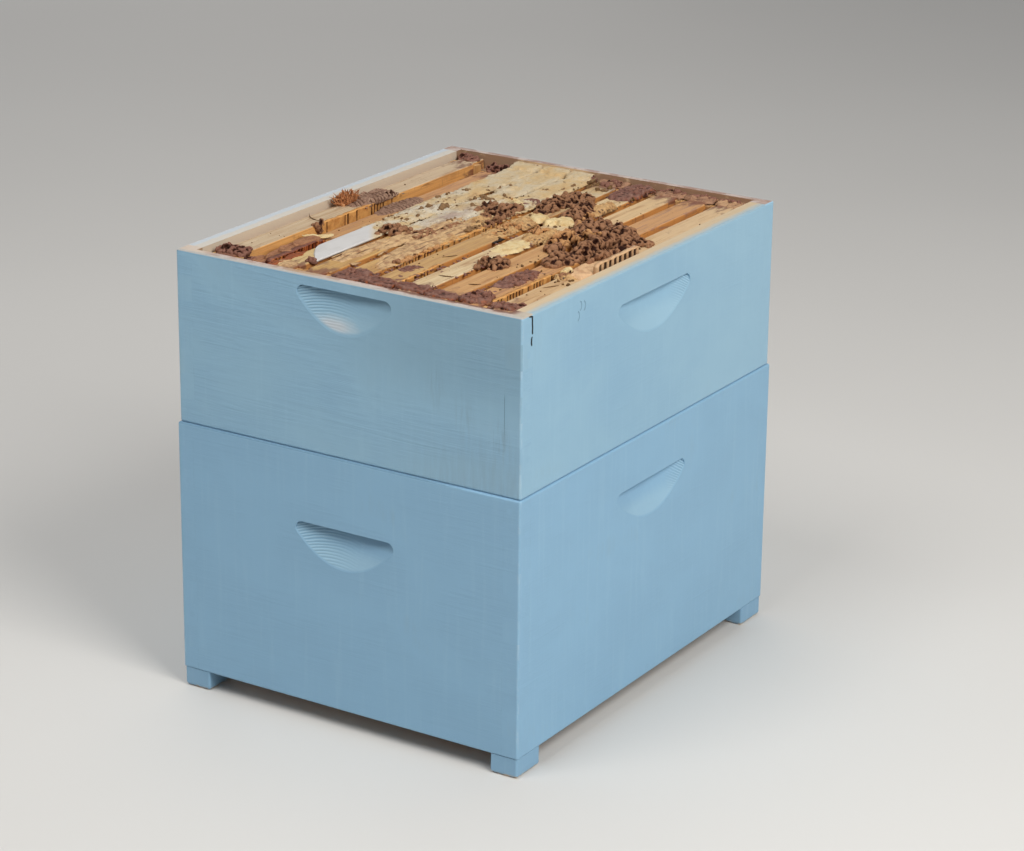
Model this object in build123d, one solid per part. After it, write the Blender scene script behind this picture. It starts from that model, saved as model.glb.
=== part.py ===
from build123d import *
import math
import os

# A ten-frame movable-frame hive: a brood body on four feet, and a shallower super on top of it.
# Millimetres. The origin is on the ground under the middle of the hive, +Z is up, the frames run along Y,
# and -Y is the short end that carries the front wall.

# Plan size of the body over its walls, and how far the super stands back from it on each side
body_width = 413.0
body_length = 505.0
super_side_inset = 1.5
super_end_inset = 2.5

# Heights
foot_height = 21.0
body_height = 272.0
super_height = 182.5

# Boards
wall = 19.0
edge_round = 2.2
finger_pitch = 26.0

# Ledges in the end walls that the frames hang from
rebate_width = 9.0
rebate_depth = 17.0

# Hand grips: size of each scoop, how far its ledge lies under the box's top, and the wood left behind it
super_end_grip_width = 112.0
super_end_grip_height = 45.0
super_end_grip_drop = 10.3
super_side_grip_width = 142.0
super_side_grip_height = 43.0
super_side_grip_drop = 34.0
body_end_grip_width = 119.0
body_end_grip_height = 43.0
body_end_grip_drop = 75.5
body_side_grip_width = 137.0
body_side_grip_height = 42.0
body_side_grip_drop = 51.0
grip_corner = 8.0
grip_end_share = 0.25
grip_backing = 7.0
grip_rim_backing = 3.0

# Floor, feet and flight entrance
floor_thickness = 15.0
floor_clearance = 0.5
foot_ledge_x = 13.5
foot_ledge_y = 24.0
foot_inset = 1.0
foot_round = 4.0
entrance_width = 180.0
entrance_height = 18.0

# Frames: counts and the gaps that set their widths
frame_count = 10
side_clearance = 2.0
shoulder_gap = 1.2
bar_gap = 10.0
bee_way = 10.8
lug_clearance = 2.0
end_bar_clearance = 8.0
super_frame_clearance = 2.5
brood_frame_clearance = 19.0

# Frames: sections of their bars
bar_thickness = 21.0
lug_thickness = 11.0
neck_inset = 2.2
bar_round = 1.6
end_bar_thickness = 9.5
end_bar_waist = 28.0
shoulder_height = 80.0
tine_drop = 2.0
bottom_bar_width = 19.0
bottom_bar_height = 9.5
comb_clearance = 6.0
comb_round = 18.0

# One super frame, second from the left, is an older one with a thinner bar that lies lower
low_frame = 2
low_bar_drop = 7.0

# Nails
nail_radius = 1.6
nail_length = 50.0
nail_head_radius = 3.4
nail_head_thickness = 1.2
corner_nail_edge = 12.0
foot_nail_edge = 5.5
foot_nail_sink = 2.0
floor_nail_count = 3

# Sizes and levels worked out from these
super_width = body_width - 2 * super_side_inset
super_length = body_length - 2 * super_end_inset
body_top = foot_height + body_height
floor_top = foot_height + floor_thickness
super_top = body_top + super_height

# Room added to a cutter where it has to pass right through a face
overrun = 5.0


def block(low, high):
    """A box between two corners."""
    size = [high[i] - low[i] for i in range(3)]
    middle = [(high[i] + low[i]) / 2 for i in range(3)]
    return Pos(*middle) * Box(*size)


def grip_cutter(width, height, depth):
    """A half-moon scoop for a face at y = 0 with the wood towards +y, and its ledge at z = 0."""
    lean = math.atan2(depth, height)
    bulge = depth * (1 - grip_end_share) * math.cos(lean)
    radius = ((width / 2) ** 2 + bulge**2) / (2 * bulge)
    axis_y = depth - radius / math.cos(lean)
    scoop = Pos(0, axis_y, 0) * Rot(X=-math.degrees(lean)) * Cylinder(radius, 4 * height)
    outline = Plane.XZ * Pos(0, -height) * Rectangle(width, 2 * height)
    outline = fillet(outline.vertices().group_by(Axis.Z)[-1], grip_corner)
    prism = extrude(outline, amount=depth + overrun, both=True)
    return scoop & prism


def nail(length=nail_length):
    """A nail whose head is flush with z = 0 and whose shank runs down."""
    shank = Pos(0, 0, -length) * Cylinder(nail_radius, length, align=(Align.CENTER, Align.CENTER, Align.MIN))
    head_align = (Align.CENTER, Align.CENTER, Align.MAX)
    return shank + Cylinder(nail_head_radius, nail_head_thickness, align=head_align)


def box_shell(width, length, base, height, end_grip, side_grip):
    """Four walls in one piece: rounded outside, hollow, with frame ledges in the ends and a grip on each side."""
    solid = block((-width / 2, -length / 2, base), (width / 2, length / 2, base + height))
    solid = fillet(solid.edges(), edge_round)
    inner_x = width / 2 - wall
    inner_y = length / 2 - wall
    top = base + height
    solid -= block((-inner_x, -inner_y, base - overrun), (inner_x, inner_y, top + overrun))
    ledge_y = inner_y + rebate_width
    solid -= block((-inner_x, -ledge_y, top - rebate_depth), (inner_x, ledge_y, top + overrun))
    end_width, end_height, end_drop, end_depth = end_grip
    end_cut = Pos(0, -length / 2, top - end_drop) * grip_cutter(end_width, end_height, end_depth)
    side_width, side_height, side_drop, side_depth = side_grip
    side_cut = Pos(0, -width / 2, top - side_drop) * grip_cutter(side_width, side_height, side_depth)
    for turn in (0, 180):
        solid -= Rot(Z=turn) * end_cut
        solid -= Rot(Z=turn + 90) * side_cut
    return solid


def finger_levels(base, height):
    """Low and high level of each corner finger, from the top down."""
    count = 2 * round((height / finger_pitch - 1) / 2) + 1
    step = height / count
    top = base + height
    return [(top - (i + 1) * step, top - i * step) for i in range(count)]


def split_walls(shell, width, length, base, height):
    """The shell's front, back, left and right boards, with alternate fingers at the corners."""
    inner_x = width / 2 - wall
    inner_y = length / 2 - wall
    levels = finger_levels(base, height)
    end = block((-inner_x, -length / 2, base), (inner_x, -inner_y, base + height))
    for low, high in levels[0::2]:
        end += block((-width / 2, -length / 2, low), (width / 2, -inner_y, high))
    side = block((-width / 2, -inner_y, base), (-inner_x, inner_y, base + height))
    for low, high in levels[1::2]:
        side += block((-width / 2, -length / 2, low), (-inner_x, length / 2, high))
    return {
        "front": shell & end,
        "back": shell & (Rot(Z=180) * end),
        "left": shell & side,
        "right": shell & (Rot(Z=180) * side),
    }


def corner_nails(width, length, base, height):
    """One nail through each corner finger, along the board that the finger laps."""
    nails = []
    for number, (low, high) in enumerate(finger_levels(base, height)):
        level = (low + high) / 2
        for sx in (-1, 1):
            for sy in (-1, 1):
                if number % 2 == 0:
                    place = Pos(sx * (width / 2 - corner_nail_edge), sy * length / 2, level)
                    turn = Rot(X=-90 * sy)
                else:
                    place = Pos(sx * width / 2, sy * (length / 2 - corner_nail_edge), level)
                    turn = Rot(Y=90 * sx)
                nails.append(place * turn * nail())
    return nails


def corner_foot(sx, sy):
    """A foot block under one corner; its inner part carries the floor."""
    outer = (body_width / 2 - foot_inset, body_length / 2 - foot_inset)
    inner = (body_width / 2 - wall - foot_ledge_x, body_length / 2 - wall - foot_ledge_y)
    xs = sorted((sx * inner[0], sx * outer[0]))
    ys = sorted((sy * inner[1], sy * outer[1]))
    foot = block((xs[0], ys[0], 0), (xs[1], ys[1], foot_height))
    foot = fillet(foot.edges().filter_by(Axis.Z), edge_round)
    return fillet(foot.faces().sort_by(Axis.Z)[0].edges(), foot_round)


def foot_nails():
    """Two nails up through each foot, one into the end wall and one into the side wall."""
    nails = []
    along_x = body_width / 2 - wall - foot_ledge_x / 2
    along_y = body_length / 2 - wall - foot_ledge_y / 2
    spots = [
        (along_x, body_length / 2 - foot_nail_edge),
        (body_width / 2 - foot_nail_edge, along_y),
    ]
    for sx in (-1, 1):
        for sy in (-1, 1):
            for x, y in spots:
                nails.append(Pos(sx * x, sy * y, foot_nail_sink) * Rot(X=180) * nail())
    return nails


def floor_nails():
    """Nails through the side walls into the edges of the floor."""
    nails = []
    spacing = body_length / (floor_nail_count + 1)
    level = foot_height + floor_thickness / 2
    for sx in (-1, 1):
        for i in range(floor_nail_count):
            y = -body_length / 2 + (i + 1) * spacing
            nails.append(Pos(sx * body_width / 2, y, level) * Rot(Y=90 * sx) * nail())
    return nails


def nail_holes(nails, sink=0.0):
    """The wood that a group of nails displaces, with the head's hole open for the depth that it is sunk."""
    holes = list(nails)
    if sink > 0:
        for item in nails:
            spot = item.center(CenterOf.BOUNDING_BOX)
            holes.append(Pos(spot.X, spot.Y, sink / 2) * Cylinder(nail_head_radius, sink))
    return holes


def frame_pieces(pitch, box_length, height, drop=0.0):
    """Top bar, end bars, bottom bar and comb of a frame at x = 0 whose usual top is z = 0."""
    frame_y = box_length / 2 - wall - end_bar_clearance
    lug_y = box_length / 2 - wall + rebate_width - lug_clearance
    inner_y = frame_y - end_bar_thickness
    bar_x = (pitch - bar_gap) / 2
    neck_x = bar_x - neck_inset
    shoulder_x = (pitch - shoulder_gap) / 2
    waist_x = min(end_bar_waist / 2, shoulder_x)
    comb_x = (pitch - bee_way) / 2

    top_bar = block((-bar_x, -inner_y, -bar_thickness), (bar_x, inner_y, -drop))
    top_bar += block((-neck_x, -frame_y, -bar_thickness), (neck_x, frame_y, -drop))
    top_bar += block((-neck_x, -lug_y, -lug_thickness), (neck_x, lug_y, -drop))
    upper_edges = top_bar.edges().filter_by(Axis.Y).group_by(Axis.Z)[-1]
    top_bar = fillet(upper_edges, bar_round)

    end_bar = block((-shoulder_x, inner_y, -shoulder_height), (shoulder_x, frame_y, -drop - tine_drop))
    end_bar += block((-waist_x, inner_y, -height), (waist_x, frame_y, -drop - tine_drop))
    end_bar -= block((-neck_x, inner_y, -bar_thickness), (neck_x, frame_y, 0))
    foot_x = bottom_bar_width / 2
    end_bar -= block((-foot_x, inner_y, -height), (foot_x, frame_y, -height + bottom_bar_height))

    bottom_bar = block((-foot_x, -frame_y, -height), (foot_x, frame_y, -height + bottom_bar_height))

    comb_low = -height + bottom_bar_height + comb_clearance
    comb = block((-comb_x, -inner_y, comb_low), (comb_x, inner_y, -bar_thickness))
    comb = fillet(comb.edges().filter_by(Axis.X).group_by(Axis.Z)[0], comb_round)
    return top_bar, [end_bar, Rot(Z=180) * end_bar], bottom_bar, comb


def frame_places(width, level):
    """Pitch of the frames across a box, and the place of each one."""
    pitch = (width - 2 * wall - 2 * side_clearance) / frame_count
    middle = (frame_count - 1) / 2
    return pitch, [Pos((i - middle) * pitch, 0, level) for i in range(frame_count)]


nodes = {}


def add(name, *solids):
    """Keep the solids of one named piece, or of one group of like pieces."""
    nodes[name] = list(solids)


# Brood body: walls, nails, feet and floor
grip_depth = wall - grip_backing
rim_grip_depth = wall - rebate_width - grip_rim_backing
body_shell = box_shell(
    body_width,
    body_length,
    foot_height,
    body_height,
    (body_end_grip_width, body_end_grip_height, body_end_grip_drop, grip_depth),
    (body_side_grip_width, body_side_grip_height, body_side_grip_drop, grip_depth),
)
body_shell -= block(
    (-entrance_width / 2, body_length / 2 - wall - overrun, floor_top),
    (entrance_width / 2, body_length / 2 + overrun, floor_top + entrance_height),
)
body_wall_nails = corner_nails(body_width, body_length, foot_height, body_height)
feet_nails = foot_nails()
board_nails = floor_nails()
for board, solid in split_walls(body_shell, body_width, body_length, foot_height, body_height).items():
    add(f"body_{board}_wall", solid - body_wall_nails - feet_nails - board_nails)
add("body_wall_nails", *body_wall_nails)

floor_x = body_width / 2 - wall - floor_clearance
floor_y = body_length / 2 - wall - floor_clearance
floor_panel = block((-floor_x, -floor_y, foot_height), (floor_x, floor_y, floor_top))
add("floor_panel", floor_panel - board_nails)
add("floor_nails", *board_nails)

for end_name, sy in (("front", -1), ("back", 1)):
    for side_name, sx in (("left", -1), ("right", 1)):
        foot = corner_foot(sx, sy) - nail_holes(feet_nails, foot_nail_sink)
        add(f"foot_{end_name}_{side_name}", foot)
add("foot_nails", *feet_nails)

# Brood frames, which hang from the ledges of the body
brood_top = body_top - rebate_depth + lug_thickness
brood_height = brood_top - floor_top - brood_frame_clearance
brood_pitch, brood_places = frame_places(body_width, brood_top)
brood_bar, brood_ends, brood_foot, brood_comb = frame_pieces(brood_pitch, body_length, brood_height)
for number, place in enumerate(brood_places, 1):
    add(f"brood_frame_{number:02d}", *[place * piece for piece in (brood_bar, *brood_ends, brood_foot)])
add("brood_combs", *[place * brood_comb for place in brood_places])

# Super: walls and nails
super_shell = box_shell(
    super_width,
    super_length,
    body_top,
    super_height,
    (super_end_grip_width, super_end_grip_height, super_end_grip_drop, rim_grip_depth),
    (super_side_grip_width, super_side_grip_height, super_side_grip_drop, grip_depth),
)
super_wall_nails = corner_nails(super_width, super_length, body_top, super_height)
for board, solid in split_walls(super_shell, super_width, super_length, body_top, super_height).items():
    add(f"super_{board}_wall", solid - super_wall_nails)
add("super_wall_nails", *super_wall_nails)

# Super frames, which lift out one by one
frame_top = super_top - rebate_depth + lug_thickness
frame_height = frame_top - body_top - super_frame_clearance
super_pitch, super_places = frame_places(super_width, frame_top)
for number, place in enumerate(super_places, 1):
    drop = low_bar_drop if number == low_frame else 0.0
    top_bar, end_bars, bottom_bar, comb = frame_pieces(super_pitch, super_length, frame_height, drop)
    add(f"super_top_bar_{number:02d}", place * top_bar)
    add(f"super_frame_{number:02d}", *[place * piece for piece in (*end_bars, bottom_bar)])
    add(f"super_comb_{number:02d}", place * comb)

os.makedirs("parts", exist_ok=True)
for name, solids in nodes.items():
    shape = solids[0] if len(solids) == 1 else Compound(children=solids)
    shape.label = name
    export_step(shape, f"parts/{name}.step")
print(len(nodes), "nodes, hive", body_width, "x", body_length, "x", super_top, "mm")
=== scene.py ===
# Looks of a painted wooden beehive: two boxes, ten lift-out frames, and the wax and propolis on their bars.
# Metres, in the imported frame: +Z up, the frames along Y, the front wall at -Y and the right wall at +X.
import math

import bmesh
import bpy
import numpy as np
from mathutils import Matrix, Vector


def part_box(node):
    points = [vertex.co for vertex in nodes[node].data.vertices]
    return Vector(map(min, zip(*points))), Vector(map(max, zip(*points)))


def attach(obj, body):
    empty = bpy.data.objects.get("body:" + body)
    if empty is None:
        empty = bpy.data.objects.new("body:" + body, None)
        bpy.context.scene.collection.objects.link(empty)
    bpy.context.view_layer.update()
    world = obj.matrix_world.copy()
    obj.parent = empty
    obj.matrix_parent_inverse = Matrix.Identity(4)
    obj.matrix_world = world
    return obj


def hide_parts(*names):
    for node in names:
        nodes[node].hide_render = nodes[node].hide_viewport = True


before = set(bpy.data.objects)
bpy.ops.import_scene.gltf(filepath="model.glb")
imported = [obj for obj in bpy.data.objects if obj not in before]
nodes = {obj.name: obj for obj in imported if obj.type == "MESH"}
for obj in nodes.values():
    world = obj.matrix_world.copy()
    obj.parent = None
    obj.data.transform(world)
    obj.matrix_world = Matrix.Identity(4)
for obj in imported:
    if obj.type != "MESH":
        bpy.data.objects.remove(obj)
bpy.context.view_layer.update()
mm = 0.001

BOXES = ("body", "super")
SIDES = ("front", "back", "left", "right")
NUMBERS = range(1, 11)


def box_mm(node):
    """Two corners of a CAD node in mm, as the finishes count."""
    return [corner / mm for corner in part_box(node)]


# Levels and places taken from the frame, in mm for the finishes
rim = box_mm("super_front_wall")[1].z
rim_half_width = box_mm("super_front_wall")[1].x
rim_half_length = box_mm("super_right_wall")[1].y
wall = box_mm("super_right_wall")[1].x - box_mm("super_right_wall")[0].x


def bar_centre(number):
    low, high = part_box(f"super_top_bar_{number:02d}")
    return (low.x + high.x) / 2


def bar_level(number):
    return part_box(f"super_top_bar_{number:02d}")[1].z


# What sits on a frame keeps to half the frames' pitch on each side of it, so that the frame lifts freely
slot_half = (bar_centre(2) - bar_centre(1)) / 2 - 0.25 * mm
crust_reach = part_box("super_top_bar_01")[1].y + mm
cell_pitch = 5.35 * mm


def linear(red, green, blue):
    """A colour given as a screen shows it, 0 to 255, as the linear colour that a shader takes."""
    def channel(value):
        value /= 255
        return value / 12.92 if value <= 0.04045 else ((value + 0.055) / 1.055) ** 2.4
    return (channel(red), channel(green), channel(blue), 1.0)


class Flow:
    """One output of a finish's nodes. Arithmetic on it adds Math nodes."""

    def __init__(self, finish, socket):
        self.finish = finish
        self.socket = socket

    def maths(self, operation, *values):
        return self.finish.node("ShaderNodeMath", {"operation": operation}, dict(enumerate(values)))

    def __add__(self, other):
        return self.maths("ADD", self, other)

    __radd__ = __add__

    def __neg__(self):
        return self.maths("MULTIPLY", self, -1.0)

    def __sub__(self, other):
        return self.maths("SUBTRACT", self, other)

    def __rsub__(self, other):
        return self.maths("SUBTRACT", other, self)

    def __mul__(self, other):
        return self.maths("MULTIPLY", self, other)

    __rmul__ = __mul__

    def __truediv__(self, other):
        return self.maths("DIVIDE", self, other)

    def __abs__(self):
        return self.maths("ABSOLUTE", self)

    def __pow__(self, other):
        return self.maths("POWER", self, other)

    def least(self, other):
        return self.maths("MINIMUM", self, other)

    def most(self, other):
        return self.maths("MAXIMUM", self, other)

    def sine(self):
        return self.maths("SINE", self)

    def rise(self, low, high):
        """0 at low, 1 at high and smooth between; it falls where low is above high."""
        span = {"Value": self, "From Min": low, "From Max": high}
        return self.finish.node("ShaderNodeMapRange", {"interpolation_type": "SMOOTHSTEP"}, span)

    def near(self, place, reach):
        """1 at a place, falling to 0 at that reach on both sides."""
        return abs(self - place).rise(reach, 0.0)


class Finish:
    """A procedural material under construction. Its places, sizes and heights are in mm."""

    def __init__(self, name):
        self.material = bpy.data.materials.new(name)
        self.material.use_nodes = True
        self.tree = self.material.node_tree
        self.tree.nodes.clear()
        sockets = {0: self.node("ShaderNodeTexCoord", out="Object"), 1: (1 / mm,) * 3}
        self.place = self.node("ShaderNodeVectorMath", {"operation": "MULTIPLY"}, sockets)
        self.x, self.y, self.z = self.split(self.place)
        self.facing = self.split(self.node("ShaderNodeTexCoord", out="Normal"))

    def node(self, kind, settings=None, sockets=None, out=0):
        """Adds a node: its settings first, then the values or links of its sockets."""
        node = self.tree.nodes.new(kind)
        for name, value in (settings or {}).items():
            setattr(node, name, value)
        for name, value in (sockets or {}).items():
            if isinstance(value, Flow):
                self.tree.links.new(value.socket, node.inputs[name])
            else:
                node.inputs[name].default_value = value
        return Flow(self, node.outputs[out] if node.outputs else None)

    def split(self, vector):
        node = self.node("ShaderNodeSeparateXYZ", {}, {0: vector}).socket.node
        return [Flow(self, socket) for socket in node.outputs]

    def stretched(self, size, shift):
        """The place on the object, counted in steps of that size along X, Y and Z."""
        sockets = {0: self.place, 1: tuple(1 / s for s in size), 2: (shift,) * 3}
        return self.node("ShaderNodeVectorMath", {"operation": "MULTIPLY_ADD"}, sockets)

    def noise(self, size, detail=3.0, roughness=0.5, distortion=0.0, shift=0.0):
        """Noise from about 0 to 1 whose lumps have that size along X, Y and Z."""
        sockets = {"Vector": self.stretched(size, shift), "Scale": 1.0, "Detail": detail}
        sockets.update({"Roughness": roughness, "Distortion": distortion})
        return self.node("ShaderNodeTexNoise", {}, sockets)

    def cells(self, size, feature="F1", shift=0.0):
        """Distance to the nearest point, or edge, of scattered cells of that size."""
        sockets = {"Vector": self.stretched(size, shift), "Scale": 1.0}
        return self.node("ShaderNodeTexVoronoi", {"feature": feature}, sockets, "Distance")

    def stored(self, name):
        """A number kept on the mesh's points."""
        return self.node("ShaderNodeAttribute", {"attribute_name": name}, out="Fac")

    def mix(self, under, over, amount):
        return self.node("ShaderNodeMix", {"data_type": "RGBA"}, {0: amount, 6: under, 7: over}, 2)

    def coats(self, colour, *layers):
        """Colours laid over one another, each given with how much of it shows."""
        for over, amount in layers:
            colour = self.mix(colour, over, amount)
        return colour

    def done(self, colour, roughness, relief=None, **constants):
        """Closes the finish. Relief is a height, and constants are set on the shader's sockets."""
        sockets = {"Base Color": colour, "Roughness": roughness}
        if relief is not None:
            bump = {"Strength": 1.0, "Distance": mm, "Height": relief}
            sockets["Normal"] = self.node("ShaderNodeBump", {}, bump)
        sockets.update({name.replace("_", " "): value for name, value in constants.items()})
        surface = self.node("ShaderNodeBsdfPrincipled", {}, sockets)
        self.node("ShaderNodeOutputMaterial", {}, {"Surface": surface})
        return self.material


# Colours as the eye reads them
SUPER_PAINT = linear(150, 188, 210)
BODY_PAINT = linear(142, 183, 211)
FOOT_PAINT = linear(134, 174, 202)
PAINT_DEEP = linear(136, 175, 203)
PAINT_PALE = linear(164, 200, 219)
PAINT_LINE = linear(112, 146, 170)
PAINT_SCUFF = linear(128, 152, 168)
WORN_PAINT = linear(210, 217, 220)
CHALKY_RIM = linear(176, 184, 190)
# Greyer blue of the paint on the right rim, also laid on the super's right top edge as painted shade
RIM_LAP_AND_SHADE = linear(150, 176, 189)
BARE_WOOD = linear(226, 200, 164)
BARE_WOOD_DARK = linear(202, 168, 126)
AMBER = linear(218, 152, 82)
AMBER_DARK = linear(150, 90, 44)
PROPOLIS = linear(112, 74, 62)
PROPOLIS_PALE = linear(148, 112, 97)
PROPOLIS_RED = linear(118, 62, 38)
PROPOLIS_DARK = linear(46, 25, 18)


def softwood(finish, along, light, dark, shift):
    """Colour and relief of plain softwood whose grain runs along X, Y or Z."""
    fine_size, wide_size = [1.5] * 3, [9] * 3
    fine_size["XYZ".index(along)] = 110
    wide_size["XYZ".index(along)] = 380
    fine = finish.noise(fine_size, 4.0, 0.6, 0.25, shift)
    wide = finish.noise(wide_size, 2.0, 0.5, 0.5, shift + 7)
    grain = fine.rise(0.35, 0.72) * 0.55 + wide.rise(0.35, 0.65) * 0.45
    return finish.mix(light, dark, grain), fine * 0.25


def blue_paint(finish, paint, along, shift, ripple):
    """Colour and relief of matt blue paint brushed over softwood whose grain runs along X or Y. Ripple is
    how strongly that grain shows."""
    streak, wave = [14] * 3, [40] * 3
    streak["XYZ".index(along)], streak[2] = 80, 2.4
    wave["XYZ".index(along)], wave[2] = 110, 7
    patch = finish.noise((120, 120, 80), 3.0, 0.55, 0.3, shift)
    strokes = finish.noise((7, 7, 120), 3.0, 0.55, 0.3, shift + 2)
    lines = finish.noise(streak, 3.0, 0.55, 1.1, shift + 4)
    waves = finish.noise(wave, 2.0, 0.5, 1.6, shift + 6)
    orange_peel = finish.noise((2.2,) * 3, 2.0, 0.5, 0.0, shift)
    rippled = patch.rise(0.36, 0.58)
    blue = finish.coats(
        paint,
        (PAINT_DEEP, patch.rise(0.3, 0.7) * 0.5),
        (PAINT_SCUFF, patch.rise(0.42, 0.28) * strokes.rise(0.35, 0.7) * 0.22),
        (PAINT_PALE, strokes.rise(0.5, 0.75) * 0.16),
    )
    grain = (lines * 0.28 + waves * 0.5) * rippled * ripple
    return blue, grain + strokes * 0.07 + orange_peel * 0.05


def grip_marks(finish, blue, relief, depth, along, z, grip, clearest):
    """The scoop of a hand grip: painted shade under its ledge, its lower part made lighter as painted light
    where it faces up, and below the ledge growth rings laid open in nested arches. The grip is the middle
    of the arches along the wall, their lowest level, the ledge's level and how strong the painted shade is.
    Clearest is where along the wall the rings show best and how far they show, in mm."""
    arch_rise, arch_reach, grip_half = 3.1, 27, 80
    middle, low, ledge, painted_shade = grip
    wander = finish.noise((34, 34, 12), 2.0, 0.5, 0.0, 5.0)
    rise = (z - low) / arch_rise + ((along - middle) / arch_reach) ** 2
    ring = ((rise + wander * 1.2) * math.tau).sine()
    inside = depth.rise(0.2, 0.9) * abs(along).rise(grip_half, grip_half - 5)
    inside = inside * z.rise(ledge + 1, ledge) * depth.rise(14, 12.5)
    shown = inside * along.near(*clearest)
    shade = inside * (z + wander * 3).rise(ledge - 12, ledge - 5)
    # Painted light: the scoop lighter low down, where it faces up; painted shade: darker just under the
    # ledge
    blue = finish.coats(
        blue,
        (PAINT_PALE, inside * z.rise(ledge - 14, ledge - 30) * 0.5),
        (PAINT_PALE, ring.rise(0.0, 0.9) * shown * 0.8),
        (PAINT_LINE, ring.rise(-0.2, -0.95) * shown * 0.6),
        (linear(84, 112, 132), shade * painted_shade),
    )
    return blue, relief + ring * shown * 0.16


# Hand grips of a box's end walls, or else side walls: the ledge below the wall's top in mm, how strong the
# painted shade under its ledge is, and where along the wall its rings are clearest and how far they show,
# in mm
GRIPS = {
    ("super", True): (10.3, 0.35, (-48, 75)),
    ("super", False): (34, 0.0, (74, 42)),
    ("body", True): (75.5, 0.3, (-48, 75)),
    ("body", False): (51, 0.0, (72, 42)),
}


def on_face(side, face, outward, reach, along, half):
    """1 on a box's outer face and 0 elsewhere: on that face's own wall, all but its finger ends, and on
    another wall, only the finger ends that show in that face."""
    if side == face:
        return abs(along).rise(half - 1, half - 2)
    return outward.rise(reach - 2, reach - 1)


def painted_board(node, side, label):
    """Paint outside with the wood's grain under it, bare wood inside and a worn rim."""
    finish = Finish(label)
    low, high = box_mm(node)
    x, y, z = finish.x, finish.y, finish.z
    depth = {"front": y - low.y, "back": high.y - y, "left": x - low.x, "right": high.x - x}[side]
    is_end = side in ("front", "back")
    is_super = "super" in node
    along, half, axis = (x, high.x, "X") if is_end else (y, high.y, "Y")
    face_x = box_mm(node.replace(side, "right"))[1].x
    face_y = box_mm(node.replace(side, "back"))[1].y
    shift = 3.1 * SIDES.index(side) + (0 if is_super else 20)

    wood, wood_relief = softwood(finish, axis, BARE_WOOD, BARE_WOOD_DARK, shift)
    stain = finish.noise((16, 16, 10), 4.0, 0.6, 0.3, shift + 1)
    sticky = {"front": 0.6, "back": 0.85}.get(side, 0.12) * z.rise(high.z - 70, high.z - 4)
    if side == "back":
        sticky = sticky * x.near(-58, 75).rise(0.9, 0.1)
    wood = finish.mix(wood, linear(146, 110, 86), (stain + sticky * 0.3).rise(0.5, 0.7) * sticky)
    # Painted light: the left wall's inner face lightened to a pale cream
    if side == "left":
        wood = finish.mix(wood, linear(214, 200, 180), 0.85)

    paint = SUPER_PAINT if is_super else BODY_PAINT
    ripple = 0.95 if node == "super_front_wall" else 0.5
    blue, blue_relief = blue_paint(finish, paint, axis, shift, ripple)
    ledge, painted_shade, rings_at = GRIPS["super" if is_super else "body", is_end]
    ledge = high.z - ledge
    grip = (-14, ledge - 36, ledge, painted_shade)
    blue, blue_relief = grip_marks(finish, blue, blue_relief, depth, along, z, grip, rings_at)
    joint = abs(along).near(half - wall, 0.5) * stain.rise(0.45, 0.62)
    blue = finish.mix(blue, PAINT_LINE, joint * 0.3)
    chips = finish.noise((4, 4, 14), 3.0, 0.6, 0.0, shift + 5)
    edge = abs(along).rise(half - 4, half) * depth.rise(4, 0.5)
    blue = finish.mix(blue, WORN_PAINT, edge * chips.rise(0.4, 0.75) * 0.25)
    on_right = on_face(side, "right", x, face_x, y, face_y)
    on_front = on_face(side, "front", -y, face_y, x, face_x)
    blue = face_tone(finish, blue, is_super, on_right, on_front, face_y, stain)
    if node in ("super_right_wall", "super_front_wall"):
        blue = corner_crack(finish, blue, x, y, z)
    if node == "super_right_wall":
        blue, blue_relief = bruise(finish, blue, blue_relief, y, z)
        # Painted shade on the right wall's rounded top edge, which would otherwise catch the light
        rim_edge_shade = finish.facing[2].rise(0.15, 0.7) * z.rise(rim - 3, rim - 1.5)
        blue = finish.mix(blue, RIM_LAP_AND_SHADE, rim_edge_shade)

    paint_depth = 14
    if is_end:
        paint_depth = paint_depth - z.rise(high.z - 62, high.z - 60) * 5.5
    painted = depth.rise(paint_depth + 1, paint_depth).most(abs(along).rise(half - 2, half - 1))
    colour = finish.mix(wood, blue, painted)
    worn_edge = 0.45 if node == "super_front_wall" else 0.75
    top = finish.facing[2].rise(worn_edge, worn_edge + 0.2) * z.rise(high.z - 2, high.z - 1)
    if is_super:
        colour = finish.mix(colour, rim_colour(finish, side, wood, depth, along, stain), top)
    else:
        inset = (rim_half_width + 1.5 - abs(x)).least(rim_half_length + 2.5 - abs(y))
        colour = finish.mix(colour, finish.mix(PAINT_DEEP, wood, inset.rise(4, 6)), top)
        # Painted shade: the body's upward-facing top edge on its front, away from the right corner,
        # darkened so it does not read as a lit line under the super
        seam_shade = finish.facing[2].rise(0.1, 0.5) * z.rise(high.z - 3, high.z - 2)
        seam_shade = seam_shade * y.rise(2 - rim_half_length, -rim_half_length) * x.rise(160, 90)
        colour = finish.mix(colour, PAINT_LINE, seam_shade * 0.85)
    roughness = 0.75 - painted * 0.17
    relief = blue_relief * painted + wood_relief * (1 - painted)
    return finish.done(colour, roughness, relief, Specular_IOR_Level=0.3)


def face_tone(finish, blue, is_super, on_right, on_front, face_y, stain):
    """Paint made lighter along a box's right face towards its far end as painted light, and on the super's
    front a painted shade along its top edge and the front's wear.
    """
    painted_far_light = 0.45 if is_super else 0.1
    # Painted light: the right face made lighter towards its far end
    blue = finish.mix(blue, PAINT_PALE, on_right * finish.y.rise(-100, 250) * painted_far_light)
    if is_super:
        # Painted shade along the top 3.5 mm of the super's front face, under its rounded top edge
        worn = finish.mix(blue, linear(116, 152, 177), finish.z.rise(rim - 3.5, rim - 1) * 0.5)
        worn = front_wear_and_shade(finish, worn, finish.x, finish.z, finish.y + face_y, stain)
        blue = finish.mix(blue, worn, on_front)
    return blue


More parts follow.
